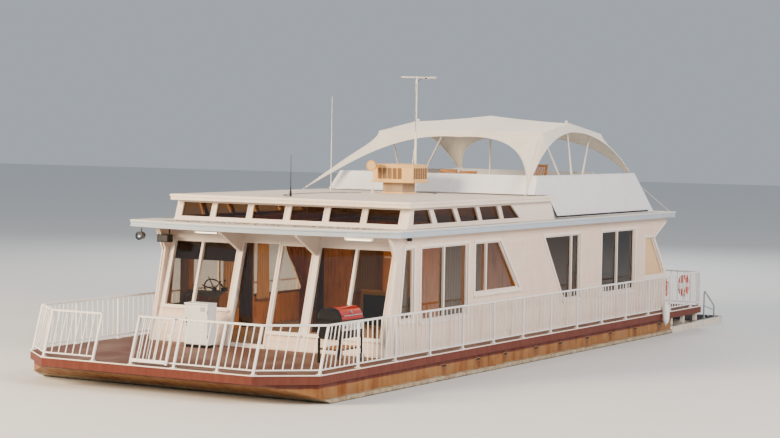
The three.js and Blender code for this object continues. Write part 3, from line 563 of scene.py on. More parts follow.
finishes = {
    "hullSteel": makeHullSteel(),
    "hullRim": makePaint("scupper_rim_rusty", colour=(0.22, 0.10, 0.05), dirt=(0.08, 0.03, 0.015),
        rough=(0.6, 0.8), dirtShare=0.5),
    "deckPaint": makeDeckPaint(),
    "platformPaint": makePlatformPaint(),
    # cream boards, their colour tinted with a painted pink of sunset sky light
    "wall": makePaint("wall_cream_painted_pink_light", colour=(0.76, 0.60, 0.50), dirt=(0.42, 0.30, 0.22)),
    "trim": makePaint("trim_white", colour=(0.80, 0.71, 0.63), streakShare=0.15, dirtShare=0.12),
    # the roof edge: the fascia band is painted a blue-grey shade and the underside a darker tan shade; the
    # top keeps the roof's cream
    "gutter": makePaint("gutter_cream_painted_shade", colour=(0.62, 0.40, 0.22), streakShare=0.3,
        dirt=(0.34, 0.28, 0.22), bands=[(place["roofBottom"] + 0.0004, (0.40, 0.47, 0.55)),
        (place["roofTop"] - 0.0005, (0.76, 0.69, 0.58))]),
    # the slab's underside is painted a darker tan shade below its cream sides and top
    "slab": makePaint("slab_cream", colour=(0.60, 0.38, 0.20),
        bands=[(place["slabBottom"] + 0.0004, (0.80, 0.70, 0.60))], dirt=(0.48, 0.36, 0.24), dirtShare=0.3,
        patch=0.8),
    # white panels, their colour tinted with a painted blue of sky shade
    "parapet": makePaint("parapet_white_painted_blue_shade", colour=(0.74, 0.76, 0.79), dirt=(0.5, 0.48, 0.44), dirtShare=0.15,
        streakShare=0.15, rough=(0.3, 0.45)),
    "rail": makePaint("rail_white", colour=(0.76, 0.745, 0.73), dirt=(0.42, 0.31, 0.22), rough=(0.3, 0.5),
        streak=22.0, streakShare=0.25),
    "soffit": makePaint("soffit_cream", colour=(0.66, 0.59, 0.47), streakShare=0.1),
    "glass": makeGlass("window_tinted", (0.78, 0.70, 0.60)),
    "cabinGlass": makeGlass("window_dark", (0.22, 0.18, 0.15)),
    "darkGlass": makeGlass("clerestory_tinted", (0.62, 0.42, 0.27)),
    "windbreak": makeCloth("windbreak_cream", colour=(0.86, 0.56, 0.28), thread=160.0, light=0.2, rough=0.5,
        soilShare=0.2),
    "canopy": makeCloth("canopy_fabric_cream", colour=(0.80, 0.745, 0.65), thread=260.0,
        soil=(0.50, 0.42, 0.33), soilShare=0.25),
    "curtainTaupe": makeCloth("curtain_taupe", colour=(0.36, 0.25, 0.155), thread=500.0),
    "curtainOrange": makeCloth("curtain_orange", colour=(0.60, 0.16, 0.03), thread=500.0),
    "curtainBrown": makeCloth("curtain_brown", colour=(0.16, 0.085, 0.045), thread=500.0),
    "curtainRed": makeCloth("curtain_red", colour=(0.30, 0.035, 0.02), thread=500.0),
    "carpet": makeCloth("carpet_brown", colour=(0.085, 0.06, 0.042), thread=180.0, weave=0.5),
    "darkWood": makeWood("helm_wood_dark", colour=(0.07, 0.03, 0.015), dark=(0.03, 0.014, 0.008),
        pale=(0.12, 0.055, 0.025)),
    "dash": makePaint("dash_grey_green", colour=(0.20, 0.22, 0.19), streakShare=0.05),
    "blind": makeCloth("blind_brown", colour=(0.085, 0.045, 0.032), thread=300.0, soilShare=0.1),
    "upholstery": makeCloth("bench_fabric", colour=(0.10, 0.11, 0.13), thread=300.0, soilShare=0.1),
    "steel": makeMetal("pole_steel_brushed", colour=(0.66, 0.66, 0.66)),
    "whitePole": makePaint("pole_white", colour=(0.78, 0.73, 0.64), rough=(0.3, 0.5)),
    "chrome": makeMetal("lamp_chrome", colour=(0.75, 0.76, 0.78), rough=(0.08, 0.2), stainShare=0.1),
    "alloy": makeMetal("propeller_alloy_cast", colour=(0.45, 0.45, 0.46), rough=(0.35, 0.55)),
    "cowl": makePaint("engine_black", colour=(0.018, 0.019, 0.022), dirt=(0.10, 0.09, 0.08),
        rough=(0.18, 0.35), coat=0.4, bump=0.05),
    "legPaint": makePaint("engine_leg_grey", colour=(0.05, 0.052, 0.057), dirt=(0.16, 0.14, 0.10)),
    "cabinWood": makeWood("cabin_wood_varnish", colour=(0.30, 0.15, 0.045), dark=(0.14, 0.06, 0.018),
        pale=(0.40, 0.20, 0.08)),
    "chairWood": makeWood("chair_wood_oiled", colour=(0.46, 0.20, 0.065), dark=(0.25, 0.10, 0.03),
        pale=(0.56, 0.30, 0.11), along=(5, 0.7, 5), rough=0.6),
    "yellow": makePaint("bench_yellow", colour=(0.70, 0.42, 0.02), streakShare=0.1),
    # a cream box, coloured with the painted orange of low sunlight
    "cooler": makePaint("cooler_cream_painted_sunlight", colour=(0.78, 0.49, 0.20), dirt=(0.42, 0.24, 0.09), dirtShare=0.3,
        streakShare=0.35, rough=(0.5, 0.7)),
    "coolerSlot": makePaint("cooler_louvre_brown", colour=(0.24, 0.13, 0.06), rough=(0.6, 0.8)),
    # the plinth under the cooler's tray, darker as painted shade
    "coolerShade": makePaint("cooler_base_painted_shade", colour=(0.36, 0.27, 0.18), rough=(0.6, 0.8)),
    "lens": makePaint("lamp_lens_pale", colour=(0.62, 0.42, 0.20), rough=(0.08, 0.15), streakShare=0.0),
    "black": makePaint("black_enamel", colour=(0.008, 0.008, 0.009), dirt=(0.05, 0.04, 0.03)),
    "red": makePaint("hood_red_enamel", colour=(0.36, 0.018, 0.014), dirt=(0.12, 0.03, 0.02),
        rough=(0.12, 0.3), coat=0.6, bump=0.04),
    "white": makePaint("cabinet_white_enamel", colour=(0.72, 0.73, 0.74), dirt=(0.4, 0.36, 0.3),
        rough=(0.2, 0.4)),
    "rubber": makePaint("fender_white_rubber", colour=(0.78, 0.78, 0.77), dirt=(0.38, 0.34, 0.3),
        rough=(0.45, 0.65)),
    "rubberBlack": makePaint("mat_black_rubber", colour=(0.05, 0.05, 0.052), dirt=(0.22, 0.20, 0.17),
        rough=(0.7, 0.9), dirtShare=0.4),
    "ringRed": makePaint("ring_red_foam", colour=(0.55, 0.035, 0.02), dirt=(0.3, 0.06, 0.04)),
    "ringWhite": makePaint("ring_white_foam", colour=(0.75, 0.72, 0.68)),
    "rope": makeCloth("rope_white", colour=(0.66, 0.62, 0.55), thread=700.0, weave=0.6),
    "lampBowl": makeMetal("lamp_bowl_dark", colour=(0.12, 0.13, 0.15), rough=(0.1, 0.25)),
    "amber": makePaint("lamp_mount_amber", colour=(0.70, 0.30, 0.03), streakShare=0.1),
    "glow": makeGlow("tube_glow", (1.0, 0.93, 0.72), 3.0),
    "leaf": makeWood("leaf_brown", colour=(0.15, 0.065, 0.025), dark=(0.06, 0.03, 0.015),
        pale=(0.30, 0.14, 0.05), along=(3, 3, 3), rough=0.9),
}
print("finishes made", len(finishes))

# The frame's own nodes get their finishes
nodeFinishes = {
    "hull": "hullSteel", "main_deck": "deckPaint", "swim_platform": "platformPaint", "port_wall": "wall",
    "starboard_wall": "wall", "front_wall": "trim", "aft_wall": "wall",
    "saloon_bulkhead": "cabinWood", "saloon_bench": "yellow", "helm_console": "cabinWood",
    "main_roof": "gutter", "clerestory_wall": "trim", "upper_roof": "slab",
    "parapet_front": "parapet", "parapet_port": "parapet", "parapet_starboard": "parapet",
    "parapet_aft": "parapet", "clerestory_glass": "darkGlass", "aft_door": "trim",
    "boarding_rail": "steel", "roof_ladder": "steel", "deck_cabinet": "white", "barbecue_body": "black",
    "barbecue_hood": "red", "port_windbreak": "windbreak", "starboard_windbreak": "windbreak",
    "front_door": "glass", "cooler": "cooler", "tv_antenna": "steel", "whip_antenna_fore": "black",
    "whip_antenna_aft": "trim", "searchlight": "chrome",
}
for nodeName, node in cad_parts.items():
    paneFinish = "cabinGlass" if "cabin_glass" in nodeName or "aft_glass" in nodeName else "glass"
    finishName = nodeFinishes.get(nodeName, paneFinish if "glass" in nodeName else "trim")
    node.data.materials.clear()
    node.data.materials.append(finishes[finishName])
print("frame nodes dressed", len(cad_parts))


# Camera, floor and light

def makeStage():
    view = {"place": (40.7576, 22.8930, 5.4770), "yaw": 3.6696873, "pitch": -0.0449725, "roll": 0.0154120,
        "lens": 93.23, "sensor": 36.0, "far": 400}
    yaw, pitch, roll = view["yaw"], view["pitch"], view["roll"]
    forward = Vector((math.cos(yaw) * math.cos(pitch), math.sin(yaw) * math.cos(pitch), math.sin(pitch)))
    level = forward.cross(Vector((0, 0, 1))).normalized()
    upright = level.cross(forward)
    right = level * math.cos(roll) + upright * math.sin(roll)
    up = upright * math.cos(roll) - level * math.sin(roll)
    data = bpy.data.cameras.new("photoCamera")
    data.lens = view["lens"]
    data.sensor_width = view["sensor"]
    data.clip_end = view["far"]
    camera = bpy.data.objects.new("photoCamera", data)
    turn = Matrix((right, up, -forward)).transposed().to_4x4()
    camera.matrix_world = Matrix.Translation(view["place"]) @ turn
    bpy.context.scene.collection.objects.link(camera)
    bpy.context.scene.camera = camera

    ground = {"half": 150.0, "colour": (0.72, 0.72, 0.71)}
    half = ground["half"]
    bm = bmesh.new()
    bm.faces.new([bm.verts.new((x, y, place["waterline"])) for x, y in rect(-half, -half, half, half)])
    floor = bpy.data.objects.new("floor", meshOf("floor", bm))
    floor.data.materials.append(makePaint("floor_pale", colour=ground["colour"], dirtShare=0.04,
        streakShare=0.0, rough=(0.6, 0.7)))
    bpy.context.scene.collection.objects.link(floor)

    sky = {"Color": (0.72, 0.79, 0.88, 1), "Strength": 0.58}
    world = bpy.data.worlds.new("studio")
    world.use_nodes = True
    for key, value in sky.items():
        world.node_tree.nodes["Background"].inputs[key].default_value = value
    bpy.context.scene.world = world

    # rows of name, place, size, watts, colour and where it aims; none is a place to aim at
    boatMiddle = Vector((0, 0, 2.5))
    lamps = [("keyLight", (34, -18, 15), 13, 34000, (1.0, 0.78, 0.52), None),
        ("sideLight", (12, 36, 20), 18, 21000, (1.0, 0.88, 0.78), None),
        ("backLight", (-30, -14, 22), 16, 7000, (0.94, 0.97, 1.0), None),
        ("saloonLight", (3.4, 0.2, 3.27), 2.4, 260, (1.0, 0.62, 0.30), (0, 0, -1)),
        ("roomLight", (-3.2, 0.1, 3.27), 2.4, 40, (1.0, 0.62, 0.30), (0, 0, -1)),
        ("wellLight", (2.2, 0.1, 3.36), 2.4, 90, (1.0, 0.55, 0.25), (0, 0, 1))]
    for name, spot, size, watts, colour, way in lamps:
        data = bpy.data.lights.new(name, "AREA")
        data.size = size
        data.energy = watts
        data.color = colour
        lamp = bpy.data.objects.new(name, data)
        lamp.location = spot
        aim = Vector(way) if way else boatMiddle - Vector(spot)
        lamp.rotation_euler = aim.to_track_quat("-Z", "Y").to_euler()
        lamp.visible_camera = lamp.visible_glossy = lamp.visible_transmission = False
        bpy.context.scene.collection.objects.link(lamp)


# Railings

def roundedSection(width, height, corner, steps=3):
    points = []
    for cx, cy, start in ((1, 1, 0), (-1, 1, 90), (-1, -1, 180), (1, -1, 270)):
        for k in range(steps + 1):
            turn = math.radians(start + 90 * k / steps)
            points.append((cx * (width / 2 - corner) + corner * math.cos(turn),
                cy * (height / 2 - corner) + corner * math.sin(turn)))
    return points


def addSweep(bm, points, section):
    # carries a section along a path, widened where the path turns
    points = [Vector(p) for p in points]
    loops = []
    for i, (point, side, up) in enumerate(sweepFrames(points)):
        before = points[i] - points[i - 1] if i else points[1] - points[0]
        widen = 1 / max(before.normalized().dot(side.cross(up).normalized()) ** 2, 0.4) ** 0.5
        loops.append([point + side * a * widen + up * b for a, b in section])
    addLoft(bm, loops)


railing = {"inset": 0.04, "height": 0.90, "low": 0.08, "firstPost": 8.4, "pitch": 1.383, "posts": 13,
    "cornerX": 9.75, "rake": 1 / 3, "spacing": 0.165, "aftSpacing": 0.175, "post": 0.02, "bar": 0.016,
    "plate": 0.05, "lowRail": 0.025}
railY = place["deckHalf"] - railing["inset"]
bowX = place["deckFore"] - railing["inset"]
railTop = place["deck"] + railing["height"]


def leanForward(x, y, z):
    share = (x - railing["firstPost"]) / (railing["cornerX"] - railing["firstPost"])
    return (x - min(max(share, 0), 1) * railing["rake"] * (z - place["deck"]), y, z)


def addRailing(bm, name, path, spacing):
    deck, half, plate, edge = place["deck"], railing["post"], railing["plate"], 0.005
    for x, y in path:
        addBlock(bm, x, y, half, half, deck + 0.001, railTop - 0.03)
        if abs(y) < railY + 0.01 and abs(x) < bowX + 0.01:
            px = (max(x - plate, place["deckAft"] + edge), min(x + plate, place["deckFore"] - edge))
            py = (max(y - plate, edge - place["deckHalf"]), min(y + plate, place["deckHalf"] - edge))
            addBox(bm, (px[0], py[0], deck + 0.001), (px[1], py[1], deck + 0.009))
            for i, j in ((0, 0), (1, 1), (0, 1), (1, 0)):
                bolt = (px[i] + 0.012 - 0.024 * i, py[j] + 0.012 - 0.024 * j, deck + 0.009)
                addStud(bm, bolt, 0.007, 0.006, 6)
    addSweep(bm, [(x, y, railTop - 0.02) for x, y in path], roundedSection(0.052, 0.04, 0.012))
    low = [(x, y, deck + railing["low"]) for x, y in path]
    addSweep(bm, low, roundedSection(railing["lowRail"], railing["lowRail"], 0.004, 1))
    bars = []
    middle = (railTop - 0.03 + deck + railing["low"]) / 2
    for (ax, ay), (bx, by) in zip(path, path[1:]):
        gaps = round(math.hypot(bx - ax, by - ay) / spacing)
        bars += [(ax + (bx - ax) * k / gaps, ay + (by - ay) * k / gaps, middle) for k in range(1, gaps)]
    size = (railing["bar"], railing["bar"], railTop - 0.03 - deck - railing["low"])
    addMesh(bm, repeated(name + "Bars", bars, size, "rail"))


def makeRails():
    end = place["deckAft"] + railing["inset"]
    along = [railing["cornerX"], *(railing["firstPost"] - n * railing["pitch"]
        for n in range(railing["posts"])), end]
    aftEnd = railY - 0.06
    paths = {
        "port": [(bowX, y) for y in (-0.33, 0.66, 1.64, 2.44)] + [(x, railY) for x in along],
        "starboard": [(bowX, y) for y in (-1.24, -2.44)] + [(x, -railY) for x in along],
        "aft": [(end, y) for y in (-aftEnd, -2.2, -1.1, 0, 1.1, 2.2, aftEnd)],
    }
    for name, path in paths.items():
        bm = bmesh.new()
        addRailing(bm, name + "Rail", path, railing["aftSpacing" if name == "aft" else "spacing"])
        if name == "port":
            for topX, footX in ((1.95, 1.44), (-5.99, -5.65)):
                addBar(bm, (topX, railY, railTop - 0.06), (footX, railY, place["deck"] + 0.095), 0.012,
                    0.02)
            # hinge knuckles of the gate on the gateway post
            for z in (0.22, 0.72):
                addStud(bm, (bowX + 0.031, -0.34, place["deck"] + z), 0.011, 0.06, 12)
        if name != "aft":
            moveBy(bm, leanForward)
        dressNode(name + "_rail", bm, "rail", "rail_paint", smooth=35)


def makeGate():
    gate = {"x": bowX + 0.062, "from": -0.305, "to": 0.515, "bottom": place["deck"] + 0.045,
        "top": railTop - 0.015, "bars": 6}
    bm = bmesh.new()
    x, y0, y1, bottom, top = (gate[key] for key in ("x", "from", "to", "bottom", "top"))
    addSweep(bm, [(x, y0 - 0.018, top), (x, y1 + 0.018, top)], roundedSection(0.036, 0.036, 0.008))
    addSweep(bm, [(x, y0, bottom + 0.045), (x, y1, bottom + 0.045)], roundedSection(0.036, 0.06, 0.006))
    for y in (y0, y1):
        addBlock(bm, x, y, 0.018, 0.018, bottom, top)
    points = [(x, y0 + (y1 - y0) * k / gate["bars"], (bottom + 0.045 + top) / 2)
        for k in range(1, gate["bars"])]
    addMesh(bm, repeated("gateBars", points, (0.016, 0.016, top - bottom - 0.045), "rail"))
    # latch plate and its bolt at the free end
    addBox(bm, (x + 0.018, y1 - 0.07, bottom + 0.5), (x + 0.024, y1 + 0.015, bottom + 0.56))
    addStud(bm, (x + 0.03, y1 - 0.08, bottom + 0.53), 0.007, 0.1, 8, axis=(0, 1, 0))
    moveBy(bm, leanForward)
    dressNode("bow_gate", bm, "rail", "rail_paint", body="bow_gate", smooth=35)


makeRails()
makeGate()
print("railings made")


# Walls: lapped boards, window casings, sashes and sills

def cutsAt(shapes, height):
    # where level height crosses the outlines, in pairs of in and out
    crossings = []
    for shape in shapes:
        for (a0, z0), (a1, z1) in zip(shape, shape[1:] + shape[:1]):
            if (z0 <= height) != (z1 <= height):
                crossings.append(a0 + (a1 - a0) * (height - z0) / (z1 - z0))
    crossings.sort()
    return list(zip(crossings[::2], crossings[1::2]))


def addBoards(bm, outline, holes, foot, toPoint, finish=0, course=0.155, lap=(0.013, 0.003)):
    # lapped boards over a flat outline (a, z); toPoint gives the place of (a, z, depth)
    shapes = [list(outline)] + [list(hole) for hole in holes]
    heights = [z for shape in shapes for _, z in shape]
    levels = {round(z, 4) for z in heights}
    k = 0
    while foot + k * course < max(heights):
        levels.add(round(foot + k * course, 4))
        k += 1
    levels = sorted(level for level in levels if level >= foot - 0.0001)
    for low, high in zip(levels, levels[1:]):
        if high - low < 0.003:
            continue
        number = math.floor((low + 0.0002 - foot) / course)
        depths = [lap[0] + (lap[1] - lap[0]) * ((z - foot) / course - number) for z in (low, high)]
        lows, highs = cutsAt(shapes, low + 0.0005), cutsAt(shapes, high - 0.0005)
        if len(lows) != len(highs):
            continue
        for (a0, b0), (a1, b1) in zip(lows, highs):
            corners = ((a0, low, 0), (b0, low, 0), (b1, high, 1), (a1, high, 1))
            back = [toPoint(a, z, -0.002) for a, z, _ in corners]
            addLoft(bm, [back, [toPoint(a, z, depths[i]) for a, z, i in corners]], finish)


def addFrame(bm, hole, toPoint, grow, depths, finish=0):
    # a mitred frame round a hole, from grow[0] to grow[1] outside its edge, between two depths
    near, far = depths
    loops = []
    for inner, outer in zip(offsetOutline(hole, grow[0]), offsetOutline(hole, grow[1])):
        loops.append([toPoint(*inner, near), toPoint(*outer, near), toPoint(*outer, far),
            toPoint(*inner, far)])
    addLoft(bm, loops, finish, closed=True)


def addSashes(bm, hole, toPoint):
    # the casing on the wall and the sash in the hole
    addFrame(bm, hole, toPoint, (-0.004, 0.058), (-0.002, 0.024), 1)
    addFrame(bm, hole, toPoint, (-0.034, 0.002), (-0.052, -0.014), 1)


def addPost(bm, hole, toPoint, a, width, depths, finish):
    # an upright bar across a hole at a
    edges = zip(hole, hole[1:] + hole[:1])
    heights = [z0 + (z1 - z0) * (a - a0) / (a1 - a0)
        for (a0, z0), (a1, z1) in edges if (a0 - a) * (a1 - a) < 0]
    addSlab(bm, toPoint, rect(a - width / 2, min(heights), a + width / 2, max(heights)), *depths, finish)


sideWall = {
    "foot": place["deck"] + 0.003,
    "outline": [(-7.36, 0.97), (6.83, 0.97), (6.395, 2.87), (6.62, 3.29), (6.62, 3.315), (-7.34, 3.315),
        (-7.34, 3.23), (-6.56, 2.85), (-7.36, 1.935)],
    "windows": {"quarter": [(5.69, 1.66), (6.225, 1.66), (6.04, 3.09), (5.69, 3.09)],
        "saloon": [(3.395, 1.6), (5.4, 1.6), (5.4, 3.09), (3.395, 3.09)],
        "slanted": [(0.975, 2.015), (3.08, 2.015), (3.08, 3.09), (1.93, 3.09)],
        "cabinFore": [(-2.17, 1.6), (-1.31, 1.6), (-0.24, 3.09), (-2.17, 3.09)],
        "cabinAft": [(-5.37, 1.6), (-3.37, 1.6), (-3.37, 3.09), (-5.37, 3.09)],
        "porch": [(-7.22, 1.86), (-5.96, 1.86), (-5.96, 2.85), (-6.475, 2.85), (-7.22, 1.935)]},
    "starboardSlanted": [(1.0, 1.66), (3.08, 1.66), (3.08, 3.09), (1.93, 3.09)],
    "posts": {"saloon": [4.40], "slanted": [2.53], "cabinFore": [-1.73], "cabinAft": [-4.33]},
    "sill": 0.05,
}


def wallWindows(side):
    # the starboard wall differs from the port one in one window
    windows = dict(sideWall["windows"])
    if side < 0:
        windows["slanted"] = sideWall["starboardSlanted"]
    return windows


def makeSideWall(name, side):
    toPoint = sidePoint(side, wallFace(name, side))
    bm = bmesh.new()
    windows = wallWindows(side)
    holes = [offsetOutline(hole, 0.05) for hole in windows.values()]
    addBoards(bm, sideWall["outline"], holes, sideWall["foot"], toPoint)
    for key, hole in windows.items():
        addSashes(bm, hole, toPoint)
        for a in sideWall["posts"].get(key, []):
            addPost(bm, hole, toPoint, a, 0.05, (-0.055, -0.006), 1)
        low = min(z for _, z in hole)
        foot = [a for a, z in hole if z < low + 0.01]
        a0, a1 = min(foot) - sideWall["sill"], max(foot) + sideWall["sill"]
        addSlab(bm, toPoint, rect(a0, low - 0.075, a1, low - 0.045), 0.0, 0.045, 1)
    # corner boards at the cabin's fore end and round the slanted aft end
    path = [(-7.33, 0.98), (-7.33, 1.93), (-6.54, 2.83), (-7.31, 3.21)]
    for start, end in [((6.80, 0.98), (6.385, 2.86)), ((6.385, 2.86), (6.60, 3.28)), *zip(path, path[1:])]:
        addBar(bm, toPoint(*start, 0.008), toPoint(*end, 0.008), 0.028, 0.06, 1)
    # a drip board along the foot
    addBar(bm, toPoint(-7.35, 0.995, 0.012), toPoint(6.80, 0.995, 0.012), 0.03, 0.045, 1)
    finishPiece(name + "_wall_boards", bm, "wall trim", "wall_board")


frontWall = {
    "foot": 6.8, "rake": 0.28, "head": 3.07, "sills": {"starboard": 1.69, "centre": 1.30, "port": 1.30},
    "bays": {"starboard": (-2.51, -0.86), "centre": (0.20, 0.99), "port": (1.11, 2.86)},
    "posts": {"starboard": [-1.77], "port": [2.0]}, "doorway": (-0.74, 0.15),
}


def frontPoint(a, z, depth):
    return Vector((frontWall["foot"] - frontWall["rake"] * (z - place["deck"]) + depth, a, z))


def makeFrontWall():
    bm = bmesh.new()
    for key, (y0, y1) in frontWall["bays"].items():
        sill, head = frontWall["sills"][key], frontWall["head"]
        hole = rect(y0, sill, y1, head)
        addFrame(bm, hole, frontPoint, (-0.03, 0.0), (-0.062, 0.012), 1)
        for a in frontWall["posts"].get(key, []):
            addPost(bm, hole, frontPoint, a, 0.055, (-0.062, 0.014), 1)
        addBoards(bm, rect(y0, 0.985, y1, sill - 0.03), [], 0.985, frontPoint)
        shelf = rect(y0 - 0.03, sill - 0.035, y1 + 0.03, sill - 0.001)
        addBoards(bm, shelf, [], sill - 0.035, frontPoint, 1, 0.2, (0.05, 0.045))
    d0, d1 = frontWall["doorway"]
    addFrame(bm, rect(d0, 0.975, d1, 3.08), frontPoint, (-0.012, 0.03), (-0.002, 0.016), 1)
    addBox(bm, (6.70, d0, place["deck"] + 0.001), (6.80, d1, place["deck"] + 0.011), 2)
    finishPiece("front_wall_boards", bm, "wall trim steel", "wall_board", smooth=30)


makeSideWall("port", 1)
makeSideWall("starboard", -1)
makeFrontWall()
print("walls boarded")


# Canopy: one tensioned sheet over a ridge, with a tail at each corner

canopy = {
    "ridgeX": -3.32, "shoulderY": 2.2, "shoulderZ": 5.4, "creaseRise": 0.03, "ridgeEndY": 2.13,
    "ridgeEndZ": 5.65, "peakZ": 5.81, "sideMiddle": (-3.32, 2.27, 5.45), "steps": 72, "thick": 0.003,
    "fore": {"creaseX": -1.86, "shoulder": (-1.67, 2.2, 5.4), "tip": (0.49, 2.9, 4.06),
        "endEdge": [(-1.70, 0, 5.30), (-1.68, 1.5, 5.39), (-1.05, 2.2, 4.90)],
        "sideEdge": [(-2.45, 2.30, 5.45), (-1.40, 2.32, 5.17)]},
    "aft": {"creaseX": -4.82, "shoulder": (-5.0, 2.2, 5.4), "tip": (-6.5, 2.45, 4.25),
        "endEdge": [(-4.96, 0, 5.30), (-5.02, 1.6, 5.37), (-5.6, 2.12, 4.96)],
        "sideEdge": [(-4.35, 2.34, 5.45), (-5.5, 2.46, 5.04)]},
}


def curveAt(points, t):
    a, b, c, d = (Vector(p) for p in points)
    s = 1 - t
    return a * s ** 3 + b * 3 * s * s * t + c * 3 * s * t * t + d * t ** 3


def canopyQuarter(half, p, q):
    # roof panel up to 0.5 each way, then valances; the corner past both is the tail
    endCurve = [*half["endEdge"], half["tip"]]
    sideCurve = [canopy["sideMiddle"], *half["sideEdge"], half["tip"]]
    shoulder = Vector(half["shoulder"])
    across, out = min(p * 2, 1), min(q * 2, 1)
    down, drop = max(p * 2 - 1, 0), max(q * 2 - 1, 0)
    ridge = Vector((canopy["ridgeX"], canopy["ridgeEndY"] * out,
        canopy["ridgeEndZ"] + (canopy["peakZ"] - canopy["ridgeEndZ"]) * (1 - out) ** 1.5))
    crease = Vector((half["creaseX"] + (shoulder.x - half["creaseX"]) * out * out,
        canopy["shoulderY"] * out, canopy["shoulderZ"] + canopy["creaseRise"] * (1 - out * out)))
    if drop == 0:
        return ridge.lerp(crease, across) if down == 0 else crease.lerp(curveAt(endCurve, out / 2), down)
    if down == 0:
        return ridge.lerp(shoulder, across).lerp(curveAt(sideCurve, across / 2), drop)
    endFoot, sideFoot = curveAt(endCurve, 0.5), curveAt(sideCurve, 0.5)
    byEnd = shoulder.lerp(sideFoot, drop).lerp(curveAt(endCurve, 0.5 + drop / 2), down)
    bySide = shoulder.lerp(endFoot, down).lerp(curveAt(sideCurve, 0.5 + down / 2), drop)
    flat = shoulder.lerp(endFoot, down).lerp(sideFoot.lerp(Vector(half["tip"]), down), drop)
    return byEnd + bySide - flat


def canopyPoint(u, v):
    point = canopyQuarter(canopy["fore"] if u >= 0 else canopy["aft"], abs(u), abs(v))
    return Vector((point.x, -point.y if v < 0 else point.y, point.z))


def makeCanopy():
    steps = canopy["steps"]
    # a slack of a few millimetres between the seams, as tensioned cloth has
    rows = []
    for i in range(steps + 1):
        u = 2 * i / steps - 1
        across = [2 * j / steps - 1 for j in range(steps + 1)]
        slack = [0.006 * math.sin(u * 21) * math.sin(v * 17) * (1 - abs(u * v)) for v in across]
        rows.append([canopyPoint(u, v) + Vector((0, 0, dz)) for v, dz in zip(across, slack)])
    sheet, area = clothPiece("canopy_sheet", rows, "canopy", canopy["thick"], smooth=50, flip=True,
        replaces=["canopy"])

    # hems round the edge and welded seams along the folds, in the same cloth
    bm = bmesh.new()
    ways = [2 * k / 60 - 1 for k in range(60)]
    edge = [(-1, t) for t in ways] + [(t, 1) for t in ways] + [(1, -t) for t in ways] + [(-t, -1)
        for t in ways]
    addTube(bm, [canopyPoint(u, v) for u, v in [*edge, (-1, -1)]], 0.011, 8)
    folds = [k / 40 - 0.5 for k in range(41)]
    seams = [[(0, 2 * k / 80 - 1) for k in range(81)]]
    seams += [[(u, t) for t in folds] for u in (-0.5, 0.5)] + [[(t, v) for t in folds] for v in (-0.5, 0.5)]
    seams += [[(p * (0.5 + k / 40), q * (0.5 + k / 40)) for k in range(20)] for p in (1, -1)
        for q in (1, -1)]
    for seam in seams:
        addTube(bm, [canopyPoint(u, v) + Vector((0, 0, 0.002)) for u, v in seam], 0.006, 6)
    hems = finishPiece("canopy_hems", bm, "canopy", "canopy_fabric", smooth=60)
    print("canopy area", round(area, 2))

    # corner straps from the tails down to the roof edge, and the guy ropes aft
    bm = bmesh.new()
    for name, foot in (("fore", (0.60, 2.915, 3.998)), ("aft", (-6.60, 2.47, 3.46))):
        for side in (1, -1):
            start, end = (Vector((x, side * y, z)) for x, y, z in (canopy[name]["tip"], foot))
            addTube(bm, [start, end], 0.006, 8)
            addLathe(bm, start, end - start, [(-0.03, 0.02), (0.0, 0.024), (0.012, 0.02)], 14)
            eye = [[end + Vector((r * math.cos(t), 0, r * math.sin(t) + 0.012)) for t in circle(12)]
                for r in (0.016, 0.024)]
            addRing(bm, *eye, (0, 1, 0), 0.007)
    for side in (1, -1):
        addTube(bm, [(-6.5, side * 2.45, 4.25), (-7.34, side * 3.08, 3.47)], 0.006, 8)
    finishPiece("canopy_straps", bm, "rope", "canopy_fabric", smooth=40)


def makePoles():
    pole = {"radius": 0.0225, "footY": 2.33, "foot": place["roofTop"] + 0.04, "topY": 2.04, "spread": 1.33,
        "shoulderTop": 5.385, "ridgeGap": 0.028, "plate": (0.11, 0.07), "centre": 0.025}
    bm = bmesh.new()
    x0, roof, ridge = canopy["ridgeX"], place["roofTop"] + 0.001, canopy["ridgeEndZ"]
    for side in (-1, 1):
        y = side * pole["footY"]
        foot = Vector((x0, y, pole["foot"]))
        for dx, z in ((pole["spread"], pole["shoulderTop"]), (0, ridge - pole["ridgeGap"]),
                (-pole["spread"], pole["shoulderTop"])):
            head = Vector((x0 + dx, side * pole["topY"], z))
            addTube(bm, [foot, head], pole["radius"], 20)
            # a sleeve where the pole telescopes
            sleeve = [(0, 0.0226), (0.004, 0.027), (0.09, 0.027), (0.094, 0.0226)]
            addLathe(bm, foot.lerp(head, 0.45), head - foot, sleeve, 20)
        addTube(bm, [(x0, side * 2.09, ridge - 0.033), (x0, 0, canopy["peakZ"] - 0.033)], pole["radius"],
            20)
        addBlock(bm, x0, y, *pole["plate"], roof, roof + 0.012)
        addBlock(bm, x0, y, 0.075, 0.012, roof + 0.012, roof + 0.074)
        for dx, dy in ((-0.09, -0.05), (-0.09, 0.05), (0.09, -0.05), (0.09, 0.05)):
            addStud(bm, (x0 + dx, y + dy, roof + 0.012), 0.011, 0.009, 6)
        # the ball finial that stands through the sheet at the ridge end
        ball = [(0, 0.012), (0.04, 0.012), (0.044, 0.024), (0.060, 0.036), (0.08, 0.034), (0.095, 0.018),
            (0.1, 0.002)]
        addTurned(bm, (x0, side * pole["topY"], ridge - 0.026), ball, 20)
    addTube(bm, [(x0, 0, roof), (x0, 0, canopy["peakZ"] - 0.028)], pole["centre"], 20)
    addTurned(bm, (x0, 0, roof), [(0, 0.08), (0.012, 0.08), (0.014, 0.04), (0.05, 0.032)])
    finishPiece("canopy_poles", bm, "whitePole", "pole_steel", smooth=40, replaces=["canopy_frame"])


makePoles()
makeCanopy()
print("canopy made")


# Hull and deck trims

hullTrim = {
    "side": 3.34, "rim": 0.016,
    "scupperZ": 0.685, "scupper": (0.085, 0.022), "strip": (0.013, 0.026), "stripZ": 0.958,
    "plan": [(-8.84, 3.41), (9.78, 3.41), (10.58, 2.45), (10.58, -2.45), (9.78, -3.41), (-8.84, -3.41)],
}


